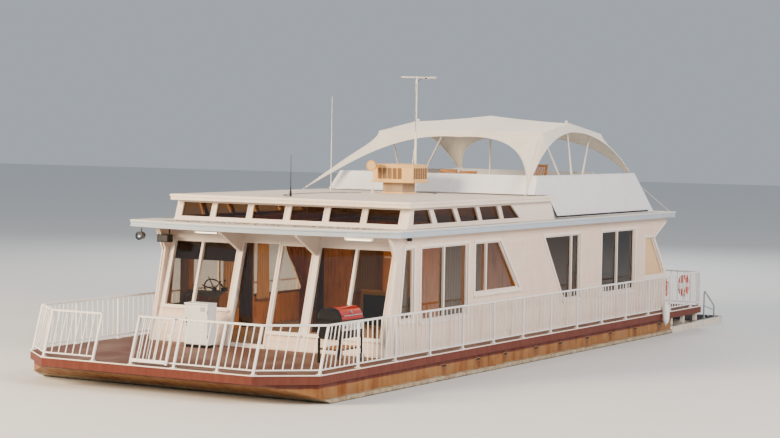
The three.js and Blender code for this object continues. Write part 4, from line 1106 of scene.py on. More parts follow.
def roundedSlot(halfLong, halfHigh, steps=6):
    points = []
    for sign in (1, -1):
        for k in range(steps + 1):
            turn = math.radians(-90 + 180 * k / steps)
            points.append((sign * (halfLong - halfHigh + halfHigh * math.cos(turn)),
                sign * halfHigh * math.sin(turn)))
    return points


def makeHullTrims():
    look = hullTrim
    # the pale strip round the edge of the deck
    bm = bmesh.new()
    out, breadth = look["strip"]
    low, high = look["stripZ"] - breadth / 2, look["stripZ"] + breadth / 2
    addEdge(bm, look["plan"], [(0.001, low), (out, low + 0.006), (out, high - 0.006), (0.001, high)])
    finishPiece("deck_edge_strip", bm, "trim", "deck_paint", bevel=0.002)

    bm = bmesh.new()
    halfLong, halfHigh = look["scupper"]
    for side in (1, -1):
        for x in scupperPlaces:
            slots = [[Vector((x + a, side * look["side"], look["scupperZ"] + b))
                for a, b in roundedSlot(halfLong + grow, halfHigh + grow)] for grow in (0, look["rim"])]
            addRing(bm, *slots, (0, side, 0), 0.010)
            # a black plate just inside each slot stands in as painted shade in the hole
            addPlate(bm, [p + Vector((0, side * 0.0008, 0)) for p in slots[0]], 0.0012, (0, side, 0), 1)
    finishPiece("hull_scuppers", bm, "hullRim black", "hull_steel", merge=False)


# Roof, slab and clerestory trims

roofLook = {"port": 3.22, "starboard": 3.38, "fore": 7.13, "bow": 0.52, "aft": -7.4}


def roofOutline(steps=24):
    middle = (roofLook["port"] - roofLook["starboard"]) / 2
    half = (roofLook["port"] + roofLook["starboard"]) / 2
    points = [(roofLook["aft"], roofLook["port"])]
    for k in range(steps + 1):
        share = 1 - 2 * k / steps
        points.append((roofLook["fore"] - roofLook["bow"] * share ** 2, middle + half * share))
    points.append((roofLook["aft"], -roofLook["starboard"]))
    return points


def addEdge(bm, plan, section):
    # carries a section (outwards, height) round a plan outline
    rings = [offsetOutline(plan, out) if out else plan for out, _ in section]
    loops = []
    for i in range(len(plan)):
        loops.append([Vector((*rings[k][i], section[k][1])) for k in range(len(section))])
    addLoft(bm, loops, closed=True)


def makeRoofTrims():
    bottom, top = place["roofBottom"], place["roofTop"]
    bm = bmesh.new()
    plan = roofOutline()
    addEdge(bm, plan, [(0.001, top - 0.040), (0.013, top - 0.036), (0.016, top - 0.004),
        (0.010, top + 0.012), (-0.02, top + 0.014), (-0.022, top + 0.001)])
    addEdge(bm, plan, [(0.001, bottom + 0.001), (0.009, bottom + 0.003), (0.009, bottom + 0.028),
        (0.001, bottom + 0.032)])
    # joint covers along the gutter board
    for y in (roofLook["port"] + 0.003, -roofLook["starboard"] - 0.003):
        for x in (-5.2, -2.75, -0.3, 2.15, 4.6):
            addBlock(bm, x, y, 0.025, 0.003, bottom + 0.030, top - 0.038)
    finishPiece("roof_gutter_trim", bm, "gutter", "roof_sheet", smooth=40)

    # soffit battens below the overhangs
    bm = bmesh.new()
    battens = [(-6.9 + 1.22 * k, y0, y1) for y0, y1 in ((3.006, 3.20), (-3.36, -2.70)) for k in range(11)]
    for x, y0, y1 in battens:
        addBox(bm, (x - 0.02, y0, bottom - 0.008), (x + 0.02, y1, bottom - 0.0005))
    for y in (-2.4, -1.2, 0.0, 1.2, 2.4):
        addBox(bm, (6.30, y - 0.02, bottom - 0.008), (7.02 - 0.03 * y * y, y + 0.02, bottom - 0.0005))
    finishPiece("soffit_battens", bm, "soffit", "roof_sheet", bevel=0.002)

    # the slab's stepped edge
    low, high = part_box("upper_roof")
    plan, z0, z1 = rect(low.x, low.y, high.x, high.y), low.z, high.z
    bm = bmesh.new()
    addEdge(bm, plan, [(0.001, z1 - 0.046), (0.017, z1 - 0.043), (0.020, z1 - 0.004), (0.012, z1 + 0.010),
        (-0.03, z1 + 0.012), (-0.034, z1 + 0.001)])
    addEdge(bm, plan, [(0.001, z0 + 0.002), (0.006, z0 + 0.004), (0.006, z0 + 0.050), (0.001, z0 + 0.054)])
    finishPiece("slab_edge", bm, "slab", "roof_sheet", smooth=40)


clerestory = {
    "fore": 5.68, "rake": 0.35, "foot": 3.52, "head": 3.845, "port": 2.83, "starboard": 2.93,
    "front": [(-2.78, -2.00), (-1.90, -1.08), (-0.965, -0.145), (-0.02, 0.815), (0.93, 1.725),
        (1.835, 2.62)],
    "side": [(5.47, 4.615, 4.79, 5.44), (4.45, 3.55, 3.785, 4.66), (3.435, 2.57, 2.76, 3.655),
        (2.465, 1.58, 1.76, 2.65), (1.46, 0.62, 1.10, 1.63)],
}


def makeClerestory():
    look = clerestory
    foot, head = look["foot"], look["head"]
    sash = {"grow": (-0.016, 0.020), "depths": (-0.030, 0.010)}

    def frontOf(a, z, depth):
        return Vector((look["fore"] - look["rake"] * (z - place["roofTop"]) + depth, a, z))

    bm = bmesh.new()
    for y0, y1 in look["front"]:
        addFrame(bm, rect(y0, foot, y1, head), frontOf, sash["grow"], sash["depths"])
    # a sill and flashing along the foot
    addSlab(bm, frontOf, rect(-look["starboard"], 3.452, look["port"], 3.478), 0.001, 0.02)
    for side, outer in ((1, look["port"]), (-1, look["starboard"])):
        sideOf = sidePoint(side, outer)
        for footFore, footAft, headAft, headFore in look["side"]:
            hole = [(footAft, foot), (footFore, foot), (headFore, head), (headAft, head)]
            addFrame(bm, hole, sideOf, sash["grow"], sash["depths"])
        addSlab(bm, sideOf, [(-1.12, 3.452), (5.67, 3.452), (5.665, 3.478), (-1.12, 3.478)], 0.001, 0.018)
    finishPiece("clerestory_sashes", bm, "trim", "wall_board", bevel=0.0015)

    # dark lining behind and above the panes, so the room under the slab reads dark as it does
    bm = bmesh.new()
    addBox(bm, (0.02, -2.85, 3.864), (5.45, 2.75, 3.870))
    for y in (look["port"] - 0.088, 0.088 - look["starboard"]):
        addBox(bm, (-0.95, y - 0.003, 3.456), (0.50, y + 0.003, 3.862))
    finishPiece("clerestory_ceiling", bm, "cabinWood", "cabin_wood", bevel=0.001)


def makeParapetTrims():
    foot, top, slab = place["roofTop"] + 0.025, 4.445, place["slabTop"]
    look = {"frontLean": 0.8, "sideLean": 0.28, "aftLean": 0.6, "seam": 0.018, "frontSeam": 0.02,
        "proud": 0.006, "prop": (0.03, 0.012), "propTop": 4.0, "capDrop": 0.022}
    propFoot = place["roofTop"] + 0.008
    bm = bmesh.new()

    def frontOf(a, z, depth):
        return Vector((-0.23 - look["frontLean"] * (z - slab) + depth, a, z))

    def portOf(a, z, depth):
        return Vector((a, 2.88 - look["sideLean"] * (z - foot) + depth, z))

    def starboardOf(a, z, depth):
        return portOf(a, z, depth) * Vector((1, -1, 1))

    def aftOf(a, z, depth):
        return Vector((-6.75 + look["aftLean"] * (z - foot) - depth, a, z))

    # the leaning front panel: welded seams, flat bars that prop it from the slab's aft end, and its cap
    for a in (-1.6, -0.55, 0.5, 1.55):
        half = look["frontSeam"]
        addSlab(bm, frontOf, rect(a - half, slab + 0.035, a + half, top - 0.012), 0.0, look["proud"])
    for a in (-2.1, -0.7, 0.7, 2.1):
        addBar(bm, frontOf(a, top - 0.03, -0.045), (-0.86, a, slab + 0.006), *look["prop"])
    cap = [frontOf(a, top, depth) for a, depth in ((-2.545, 0.010), (2.545, 0.010), (2.545, -0.040),
        (-2.545, -0.040))]
    addPlate(bm, cap, look["capDrop"], (0, 0, -1))
    # the side and aft panels: rows of toPoint, ends, seams and how far inboard the props stand
    sideSeams = (-5.2, -4.05, -2.9, -1.75)
    panels = [
        (portOf, (-6.13, -0.655), sideSeams, 0.36),
        (starboardOf, (-6.13, -0.655), sideSeams, 0.36),
        (aftOf, (-2.54, 1.5), (-1.7, -0.6, 0.5), 0.69),
    ]
    for toPoint, (a0, a1), seams, inboard in panels:
        addLoft(bm, [[toPoint(a, z, depth) for a, depth in ((a0, out), (a1, out), (a1, back), (a0, back))]
            for z, out, back in ((top - look["capDrop"], 0.012, -0.042), (top, 0.010, -0.040))])
        for a in seams:
            addSlab(bm, toPoint, rect(a - look["seam"], foot + 0.02, a + look["seam"], top - 0.024), 0.0,
                look["proud"])
            base = toPoint(a, foot, -inboard)
            addBar(bm, toPoint(a, look["propTop"], -0.036), (base.x, base.y, propFoot), *look["prop"])
    finishPiece("parapet_trims", bm, "parapet", "parapet_panel", bevel=0.0015)


makeHullTrims()
makeRoofTrims()
makeClerestory()
makeParapetTrims()
print("trims made")


# Rear wall and doors

aftWall = {"face": -5.90, "outline": [(-2.62, 0.97), (2.94, 0.97), (2.94, 3.315), (-2.62, 3.315)],
    "door": [(-0.45, 0.90), (0.45, 0.90), (0.45, 2.96), (-0.45, 2.96)],
    "windows": [[(1.05, 1.90), (2.35, 1.90), (2.35, 2.98), (1.05, 2.98)],
    [(-2.35, 1.90), (-1.05, 1.90), (-1.05, 2.98), (-2.35, 2.98)]]}


def aftPoint(a, z, depth):
    return Vector((aftWall["face"] - depth, a, z))


def makeAftWall():
    bm = bmesh.new()
    holes = [offsetOutline(hole, 0.05) for hole in [aftWall["door"], *aftWall["windows"]]]
    addBoards(bm, aftWall["outline"], holes, 0.973, aftPoint)
    for hole in aftWall["windows"]:
        addSashes(bm, hole, aftPoint)
        addPost(bm, hole, aftPoint, (hole[0][0] + hole[1][0]) / 2, 0.045, (-0.055, -0.01), 1)
    for start, end in (((-0.48, 0.975), (-0.48, 3.015)), ((0.48, 0.975), (0.48, 3.015)),
            ((-0.505, 2.99), (0.505, 2.99))):
        addBar(bm, aftPoint(*start, 0.012), aftPoint(*end, 0.012), 0.03, 0.055, 1)
    finishPiece("aft_wall_boards", bm, "wall trim", "wall_board")


def makeDoors():
    # front door: an alloy frame round the sliding leaf, with a flush pull outside and a bow handle inside
    bm = bmesh.new()
    addFrame(bm, rect(-0.78, 0.9823, 0.18, 3.12), frontPoint, (-0.055, 0.0015), (-0.1175, -0.0785))
    addSlab(bm, frontPoint, rect(-0.765, 1.95, -0.735, 2.10), -0.0785, -0.0765, 1)
    grip = [(1.92, -0.117), (1.93, -0.155), (2.12, -0.155), (2.13, -0.117)]
    addTube(bm, [frontPoint(-0.75, z, depth) for z, depth in grip], 0.008, 10, 1)
    finishPiece("front_door_frame", bm, "trim chrome", "wall_board", body="front_door", bevel=0.0015)

    # rear door: planted mouldings, an upper light of dark glass and a lever on each face
    bm = bmesh.new()
    low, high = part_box("aft_door")
    panels = [rect(-0.31, 2.05, 0.31, 2.82), rect(-0.31, 1.12, -0.03, 1.90), rect(0.03, 1.12, 0.31, 1.90)]
    for face, way in ((low.x, 1), (high.x, -1)):
        def toPoint(a, z, depth, face=face, way=way):
            return Vector((face - way * depth, a, z))

        for panel in panels:
            addFrame(bm, panel, toPoint, (-0.022, 0.006), (0.0005, 0.009))
        addSlab(bm, toPoint, offsetOutline(panels[0], -0.024), 0.0004, 0.002, 2)
        addSlab(bm, toPoint, rect(-0.41, 1.93, -0.37, 2.05), 0.0005, 0.004, 1)
        lever = [(-0.39, 0.004), (-0.39, 0.045), (-0.375, 0.052), (-0.28, 0.050)]
        addTube(bm, [toPoint(a, 2.0, depth) for a, depth in lever], 0.008, 10, 1)
    finishPiece("aft_door_trim", bm, "trim chrome darkGlass", "wall_board", body="aft_door", smooth=40)


makeAftWall()
makeDoors()
print("doors made")


# Inside: dark boards, ceiling, carpet, helm, bench, curtains

def makeLining():
    bm = bmesh.new()
    # the rooms behind and ahead of the bulkhead, by their lengths
    rooms = [rect(-5.82, 0.98, 0.29, 3.30), [(0.35, 0.98), (6.62, 0.98), (6.0, 3.30), (0.35, 3.30)]]
    for side, name in ((1, "port"), (-1, "starboard")):
        windows = [offsetOutline(hole, 0.015) for key, hole in wallWindows(side).items() if key != "porch"]
        for room in rooms:
            near = [hole for hole in windows if room[0][0] < hole[0][0] < room[1][0]]
            addBoards(bm, room, near, 0.985, sidePoint(side, wallFace(name, side) - 0.080, -1), 0, 0.29,
                (0.006, 0.006))
    for x0, x1, y0, y1 in ((-5.82, -0.91, -2.60, 2.90), (4.91, 6.03, -2.60, 2.90),
            (-0.91, 0.29, 2.61, 2.90), (0.35, 4.91, 2.61, 2.90)):
        addBox(bm, (x0, y0, 3.306), (x1, y1, 3.313))
    for x0, x1 in ((-5.83, 0.29), (0.35, 6.62)):
        addBox(bm, (x0, -2.60, 0.9705), (x1, 2.90, 0.979), 1)
    # the raised well above the ceiling, lined round its sides
    for y in (2.594, -2.600):
        addBox(bm, (-0.9, y, 3.32), (4.9, y + 0.006, 3.46))
    # the bulkhead's planks on each side of its doorway
    for a in [-2.55 + 0.41 * k for k in range(14)]:
        if not -1.72 < a < -0.83:
            addBox(bm, (0.341, a - 0.004, 0.985), (0.349, a + 0.004, 3.30))
    finishPiece("cabin_lining", bm, "cabinWood carpet", "cabin_wood", merge=False)


def makeHelm():
    helm = {"centre": (5.40, -2.05, 1.97), "radius": 0.25, "rim": 0.016, "spokes": 6,
        "axis": (-0.9, 0, 0.42)}
    bm = bmesh.new()
    centre, axis = Vector(helm["centre"]), Vector(helm["axis"]).normalized()
    side = Vector((0, 1, 0))
    up = axis.cross(side)
    addLoft(bm, hoop(centre, side, up, helm["radius"], helm["rim"], 40, 10), closed=True)
    for turn in circle(helm["spokes"], 0.3):
        out = side * math.cos(turn) + up * math.sin(turn)
        spoke = [centre + out * reach for reach in (0.03, 0.12, helm["radius"] + 0.07)]
        addTube(bm, spoke, [0.010, 0.014, 0.010], 10)
    hub = [(0, 0.02), (0.06, 0.03), (0.08, 0.05), (0.12, 0.05), (0.135, 0.02)]
    addLathe(bm, centre - axis * 0.10, axis, hub, 20, 1)
    addTube(bm, [centre - axis * 0.09, Vector((5.58, -2.05, 1.86))], 0.02, 12, 1)
    # dash: a grey-green top, a row of dials with pale faces and the throttle box
    slope = [(5.665, 1.951), (5.853, 1.853), (5.86, 1.870), (5.672, 1.968)]
    addLoft(bm, [[Vector((x, y, z)) for x, z in slope] for y in (-2.49, -1.61)], 2)
    for k in range(5):
        spot, face = Vector((5.55, -2.38 + 0.17 * k, 1.855)), (-1, 0, 1)
        addLathe(bm, spot, face, [(0, 0.045), (0.012, 0.045), (0.012, 0.038)], 20, 1)
        addLathe(bm, spot, face, [(0.010, 0.037), (0.0112, 0.037)], 20, 3)
    addBox(bm, (5.50, -1.72, 1.96), (5.64, -1.64, 2.04), 1)
    addTube(bm, [(5.57, -1.68, 2.03), (5.54, -1.68, 2.20)], 0.008, 8, 1)
    addLathe(bm, (5.54, -1.68, 2.19), (0, 1, 0), [(-0.02, 0.01), (-0.015, 0.018), (0.015, 0.018),
        (0.02, 0.01)], 12)
    finishPiece("helm_fittings", bm, "darkWood black dash white", "cabin_wood", smooth=40)


def padMesh(low, high, crown, corner=0.03, steps=14):
    # a crowned closed pad, flat below, its sides bowed out at mid-height
    x0, y0, z0 = low
    x1, y1, z1 = high
    outline = []
    for a, b, da, db in ((0, 0, 1, 0), (1, 0, 0, 1), (1, 1, -1, 0), (0, 1, 0, -1)):
        for t in [k / steps for k in range(steps)]:
            pull = 0.012 * math.sin(math.pi * t)
            outline.append((a + da * t, b + db * t, -db * pull, da * pull))
    loops = []
    for share in (0, 0.25, 0.5, 0.75, 1):
        shrink = corner * (1 - math.sin(math.pi * (0.12 + 0.76 * share))) * 1.4
        loops.append([Vector((x0 + shrink + (x1 - x0 - 2 * shrink) * a + dx,
            y0 + shrink + (y1 - y0 - 2 * shrink) * b + dy, z0 + (z1 - z0) * share))
            for a, b, dx, dy in outline])
    # the top as a crowned grid that meets the last loop
    middle = Vector(((x0 + x1) / 2, (y0 + y1) / 2, z1))
    top = loops[-1]
    for share in [k / 8 for k in range(1, 8)]:
        rise = Vector((0, 0, crown * (1 - (1 - share) ** 2.2)))
        loops.append([p.lerp(middle, share) + rise for p in top])
    bm = bmesh.new()
    addLoft(bm, loops)
    return bm


def makeBench():
    bm = bmesh.new()
    # black panel between the yellow posts, with a yellow capping rail
    for x0, x1 in ((5.186, 5.1925), (5.2225, 5.2295)):
        addBox(bm, (x0, 1.565, 1.372), (x1, 2.835, 2.05), 1)
    addBox(bm, (4.706, 1.565, 1.30), (4.722, 2.835, 1.369))
    addTube(bm, [(5.205, 1.49, 2.135), (5.205, 2.905, 2.135)], 0.016)
    finishPiece("bench_panels", bm, "yellow black", "cabin_wood", bevel=0.002)
    for k, (y0, y1) in enumerate(((1.57, 2.19), (2.21, 2.83))):
        bm = padMesh((4.715, y0, 1.4305), (5.16, y1, 1.50), 0.035)
        pad = finishPiece(f"bench_cushion_{k + 1}", bm, "upholstery", "canopy_fabric", smooth=60)
        rounder = pad.modifiers.new("round", "SUBSURF")
        rounder.levels = rounder.render_levels = 1


curtain = {"top": 3.165, "long": 1.70, "inset": 0.135, "fold": 0.022, "rod": 0.009, "steps": (110, 26),
    "waistSpan": 0.22, "belowWaist": 0.8, "thick": 0.0015}


def curtainSheet(name, top, direction, width, drop, folds, depth, finishName, waist=None):
    # a hung cloth: top is its upper start, direction the way it runs; waist is (share down, width, shift)
    along = Vector(direction)
    across = Vector((-along.y, along.x, 0))
    columns, levels = curtain["steps"]
    rows = []
    for down in [j / levels for j in range(levels + 1)]:
        breadth, shift = width, 0.0
        if waist:
            at, narrow, move = waist
            near = math.exp(-((down - at) / curtain["waistSpan"]) ** 2)
            breadth = width + (narrow - width) * near
            if down > at and near <= 0.5:
                breadth *= curtain["belowWaist"]
            shift = move * (near if down < at else max(near, 0.85))
        row = []
        for share in [i / columns for i in range(columns + 1)]:
            wave = math.sin(2 * math.pi * folds * share + 0.9 * math.sin(3 * share))
            sway = 0.006 * math.sin(9 * share + 5 * down)
            point = Vector(top) + along * (shift + breadth * share + sway) + across * depth * (0.55
                + 0.45 * down) * wave
            point.z = top[2] - drop * down
            row.append(point)
        rows.append(row)
    piece, area = clothPiece(name, rows, finishName, curtain["thick"], smooth=60)
    flatWidth = area / drop
    print(name, "cloth", round(flatWidth, 2), "by", drop)


def makeCurtains():
    top, long, rod = curtain["top"], curtain["long"], curtain["rod"]
    for side, name in ((1, "port"), (-1, "starboard")):
        y = side * (wallFace(name, side) - curtain["inset"])
        y0, y1 = sorted((y, y + side * 0.046))
        bm = bmesh.new()
        for x0, x1 in ((0.95, 5.92), (-5.60, -0.20)):
            addTube(bm, [(x0, y, top + 0.012), (x1, y, top + 0.012)], rod, 10)
            for x in (x0 + 0.02, (x0 + x1) / 2, x1 - 0.02):
                addBox(bm, (x - 0.01, y0, top + 0.006), (x + 0.01, y1, top + 0.018))
        track = name + "_curtain_rail"
        finishPiece(track, bm, "chrome", "pole_steel", smooth=40)
        # rows of window, start, width, folds and drop
        rows = [("quarter", 5.66, 0.30, 5, long), ("saloon", 3.40, 0.98, 9, long)]
        if side > 0:
            rows += [("slanted", 2.56, 0.48, 6, 1.25), ("cabin", -5.40, 1.04, 10, long)]
        else:
            rows += [("slanted", 2.56, 0.48, 6, 1.62), ("cabin", -5.40, 2.10, 18, long),
                ("berth", -2.20, 1.98, 17, long)]
        for key, x, width, folds, drop in rows:
            curtainSheet(f"{name}_curtain_{key}", (x, y, top), (1, 0, 0), width, drop, folds,
                curtain["fold"], "curtainTaupe")
    # the front bays: a rod behind the head of the glass, drawn brown and orange curtains
    bm = bmesh.new()
    addTube(bm, [(5.955, -2.50, 3.19), (5.955, 2.86, 3.19)], rod, 10)
    for y in (-2.45, -0.80, 1.05, 2.80):
        addBox(bm, (5.945, y - 0.01, 3.19), (5.965, y + 0.01, 3.3055))
    finishPiece("front_curtain_rail", bm, "chrome", "pole_steel", smooth=40)
    # rows of name, start, width, drop, folds, depth of fold, finish, waist
    bays = [
        ("brown", -1.02, 0.34, 1.9, 6, 0.022, "curtainBrown", None),
        ("orange", 0.12, 0.52, 1.75, 7, 0.020, "curtainOrange", (0.50, 0.11, 0.41)),
        ("middle", 0.80, 0.26, 1.9, 5, 0.022, "curtainBrown", None),
        ("red", 2.66, 0.16, 1.9, 3, 0.020, "curtainRed", None),
    ]
    for key, y, width, drop, folds, fold, finishName, waist in bays:
        curtainSheet("front_curtain_" + key, (5.955, y, 3.18), (0, 1, 0), width, drop, folds, fold,
            finishName, waist)
    # the starboard bay's brown blind, stretched from its roller along the raked glass
    blind = {"span": (-2.49, -0.90), "top": 3.055, "foot": 2.67, "depth": -0.088, "thick": 0.001}
    foot, depth = blind["foot"], blind["depth"]
    bm = bmesh.new()
    addTube(bm, [frontPoint(y, blind["top"] + 0.02, depth - 0.022) for y in blind["span"]], 0.02, 16)
    addBar(bm, *[frontPoint(y, foot, depth) for y in blind["span"]], 0.012, 0.02)
    finishPiece("front_blind_roller", bm, "blind", "canopy_fabric", smooth=40)
    y0, y1 = blind["span"]
    rows = [[frontPoint(y0 + (y1 - y0) * i / 24, foot + (blind["top"] - foot) * j / 8, depth)
        for i in range(25)] for j in range(9)]
    cloth, area = clothPiece("front_blind", rows, "blind", blind["thick"], offset=-1.0)


makeLining()
makeHelm()
makeBench()
makeCurtains()
print("inside made")


# Engines, swim platform and what hangs along the side

engine = {
    "y": 0.55,
    # cowl stations up its height: z, fore x, aft x, half width
    "cowl": [(0.955, -9.02, -9.55, 0.150), (0.99, -8.99, -9.62, 0.178), (1.06, -8.985, -9.635, 0.188),
             (1.18, -8.995, -9.638, 0.189), (1.27, -9.01, -9.625, 0.184), (1.33, -9.03, -9.58, 0.170),
             (1.375, -9.07, -9.52, 0.146), (1.402, -9.12, -9.46, 0.110), (1.415, -9.17, -9.42, 0.06)],
    # leg stations: z, fore x, aft x, half width
    "leg": [(0.955, -9.10, -9.50, 0.085), (0.90, -9.127, -9.478, 0.060), (0.75, -9.127, -9.455, 0.046),
            (0.58, -9.127, -9.43, 0.040), (0.47, -9.19, -9.41, 0.034), (0.41, -9.18, -9.40, 0.034),
            (0.33, -9.18, -9.42, 0.030), (0.26, -9.18, -9.43, 0.034)],
    "skeg": [(-9.20, 0.17), (-9.40, 0.19), (-9.345, 0.10), (-9.27, 0.045), (-9.215, 0.09)],
    "shaft": 0.205, "propeller": -9.50,
}


def egg(foreX, aftX, half, z, y, points=28, power=2.6):
    loop = []
    for k in range(points):
        turn = 2 * math.pi * k / points
        c, s = math.cos(turn), math.sin(turn)
        x = (foreX + aftX) / 2 + (foreX - aftX) / 2 * math.copysign(abs(c) ** (2 / power), c)
        loop.append(Vector((x, y + half * math.copysign(abs(s) ** (2 / power), s), z)))
    return loop


def makeEngine(name, side):
    y = side * engine["y"]
    bm = bmesh.new()
    addLoft(bm, [egg(fore, aft, half, z, y) for z, fore, aft, half in engine["cowl"]])
    # the joint line of the cowl, its lifting latch and the air scoop at the back
    line = [(egg(-8.984, -9.636, 0.1895, z, y), egg(-8.982, -9.638, 0.1905, w, y))
        for z, w in ((1.052, 1.055), (1.066, 1.063))]
    (inLow, outLow), (inHigh, outHigh) = line
    addLoft(bm, list(zip(inLow, outLow, outHigh, inHigh)), 2, closed=True)
    addBox(bm, (-9.645, y - 0.035, 1.02), (-9.630, y + 0.035, 1.10), 2)
    for k in range(5):
        x, z = -9.60 + 0.004 * k, 1.20 + 0.024 * k
        addBox(bm, (x, y - 0.09, z), (x + 0.025, y + 0.09, z + 0.008), 2)
    addLoft(bm, [egg(fore, aft, half, z, y, 24, 2.2) for z, fore, aft, half in engine["leg"]], 1)
    # anti-ventilation plate, gearcase, skeg, water inlet and trim tab
    half = [(-9.15, 0.05), (-9.22, 0.10), (-9.45, 0.11), (-9.555, 0.075)]
    plate = [*half, (-9.56, 0.0), *[(x, -b) for x, b in reversed(half)]]
    addLoft(bm, [[Vector((x, y + b, z)) for x, b in plate] for z in (0.396, 0.406)], 1)
    addLathe(bm, (-9.12, y, engine["shaft"]), (-1, 0, 0),
        [(0, 0.004), (0.02, 0.022), (0.06, 0.038), (0.13, 0.049), (0.22, 0.05), (0.325, 0.043)], 24, 1)
    addLoft(bm, [[Vector((x, y + b, z)) for x, z in engine["skeg"]] for b in (-0.006, 0.006)], 1)
    addBlock(bm, -9.25, y, 0.03, 0.053, 0.185, 0.225, 2)
    addBlock(bm, -9.47, y, 0.03, 0.012, 0.345, 0.396, 1)
    dressNode(f"outboard_{name}", bm, "cowl legPaint black", "engine_cowl", body=f"outboard_{name}",
        smooth=38)

    # propeller: a hub with three twisted blades
    bm = bmesh.new()
    x, z = engine["propeller"], engine["shaft"]
    hub = [(0, 0.041), (0.07, 0.042), (0.09, 0.034), (0.105, 0.02), (0.109, 0.004)]
    addLathe(bm, (x + 0.049, y, z), (-1, 0, 0), hub)
    blade = [(-1, 0), (-0.5, 0.0030), (0, 0.0042), (0.6, 0.0030), (1, 0), (0.6, -0.0015), (0, -0.002),
        (-0.5, -0.0015)]
    for turn in circle(3):
        loops = []
        for share in [step / 8 for step in range(9)]:
            radius = 0.034 + 0.128 * share
            chord = 0.062 * math.sin(math.pi * (0.22 + 0.66 * share)) ** 0.6 * (1 if share < 0.95 else 0.6)
            pitch, skew = math.radians(62 - 34 * share), 0.25 * share ** 2
            loop = []
            for across, thick in blade:
                swing = (chord * across * math.sin(pitch) - thick * math.cos(pitch)) / radius + skew
                dx = chord * across * math.cos(pitch) + thick * math.sin(pitch)
                point = Vector((dx, radius * math.sin(swing), radius * math.cos(swing)))
                loop.append(Vector((x, y, z)) + Matrix.Rotation(turn, 3, "X") @ point)
            loops.append(loop)
        addLoft(bm, loops)
    dressNode(f"propeller_{name}", bm, "alloy", "propeller_alloy", body=f"propeller_{name}", smooth=40)


def makeTransom():
    # fixed gear at the engine board: the clamp brackets
    bracket = [(-9.0005, 0.60), (-9.0005, 0.905), (-8.93, 0.93), (-8.90, 0.905), (-8.90, 0.76),
        (-8.938, 0.74), (-8.938, 0.60)]
    bm = bmesh.new()
    for y in [side * engine["y"] + dy for side in (1, -1) for dy in (-0.085, 0.085)]:
        addPlate(bm, [(x, y - 0.006, z) for x, z in bracket], 0.012, (0, 1, 0))
        addTube(bm, [(-8.905, y, 0.80), (-8.86, y, 0.80)], 0.010, 10, 1)
        addStud(bm, (-8.862, y, 0.80), 0.024, 0.010, 14, 1, (1, 0, 0))
    finishPiece("engine_brackets", bm, "legPaint steel", "platform_paint", smooth=35)


def makePlatformTrims():
    bm = bmesh.new()
    top = 0.565
    for side in (1, -1):
        y0, y1 = sorted((side * 1.20, side * 3.30))
        # non-slip mats with ribs, edged by a pale strip
        for x0 in [-10.55 + 0.585 * k for k in range(3)]:
            addBox(bm, (x0, y0 + 0.03, top + 0.0005), (x0 + 0.53, y1 - 0.03, top + 0.006))
            for x in [x0 + 0.02 + rib * 0.049 for rib in range(11)]:
                addBox(bm, (x - 0.006, y0 + 0.045, top + 0.006), (x + 0.006, y1 - 0.045, top + 0.0095))
        # rubber fender along the aft edge
        addTube(bm, [(-10.594, y0 + 0.02, 0.50), (-10.594, y1 - 0.02, 0.50)], 0.010, 10, 1)
        # mooring cleat at the outer aft corner
        y = side * 3.16
        horns = [(-9.94, 0.035), (-9.985, 0.052), (-10.10, 0.052), (-10.145, 0.035)]
        addTube(bm, [(x, y, top + z) for x, z in horns], [0.007, 0.011, 0.011, 0.007], 12, 2)
        for x in (-10.01, -10.075):
            addTube(bm, [(x, y, top + 0.001), (x, y, top + 0.047)], 0.010, 12, 2)
        # bolts through the beams' brackets
        for x, z in [(x, z) for x in (-7.05, -7.85, -8.70) for z in (0.60, 0.70)]:
            addStud(bm, (x, side * 3.339, z), 0.014, 0.010, 6, 2, (0, side, 0))
    finishPiece("platform_mats", bm, "rubberBlack black steel", "platform_paint", smooth=35)


def makeBoardingRail():
    rail = {"y": 3.23, "fore": -9.52, "aft": -10.25, "foot": 0.5655, "radius": 0.022}
    x0, x1, y, foot = rail["fore"], rail["aft"], rail["y"], rail["foot"]
    path = [(x0, foot), (x0, 1.215), (x0 - 0.01, 1.260), (x0 - 0.035, 1.283), (x0 - 0.07, 1.272),
        (x1 + 0.07, 0.905), (x1 + 0.025, 0.870), (x1, 0.830), (x1, foot)]
    bm = bmesh.new()
    addTube(bm, [(x, y, z) for x, z in path], rail["radius"], 18)
    for x in (x0, x1):
        addTurned(bm, (x, y, foot), [(0, 0.05), (0.008, 0.05), (0.012, 0.03), (0.05, 0.026),
            (0.052, 0.0225)])
        for turn in circle(4, math.pi / 4):
            addStud(bm, (x + 0.038 * math.cos(turn), y + 0.038 * math.sin(turn), foot + 0.008), 0.006,
                0.005, 6)
    addTube(bm, [(x0, y, 0.91), (x1, y, 0.74)], 0.014, 14)
    dressNode("boarding_rail", bm, "steel", "pole_steel", smooth=45)


def makeLadder():
    foot, head = Vector((-8.06, 0, 0.9703)), Vector((-7.44, 0, 3.90))
    hook = foot.lerp(head, 1 - 0.42 / (head.z - foot.z)).x
    floor = foot.z + 0.0005
    bm = bmesh.new()
    for y in (1.83, 2.27):
        addSweep(bm, [(foot.x, y, foot.z + 0.03), (head.x, y, head.z)],
            roundedSection(0.04, 0.06, 0.016, 4))
        addBlock(bm, foot.x, y, 0.045, 0.03, floor, foot.z + 0.008)
        addBlock(bm, foot.x, y, 0.028, 0.028, floor, foot.z + 0.055, 1)
        # hooks that lie over the roof edge
        addBox(bm, (hook - 0.01, y - 0.018, 3.452), (hook + 0.12, y + 0.018, 3.462))
    for spot in [foot.lerp(head, k / 10) for k in range(1, 9)]:
        addBlock(bm, spot.x, 2.05, 0.055, 0.205, spot.z - 0.010, spot.z + 0.006)
        for x in [spot.x - 0.044 + 0.022 * rib for rib in range(5)]:
            addBlock(bm, x, 2.05, 0.005, 0.19, spot.z + 0.006, spot.z + 0.010, 1)
    dressNode("roof_ladder", bm, "steel rubberBlack", "pole_steel", smooth=35)


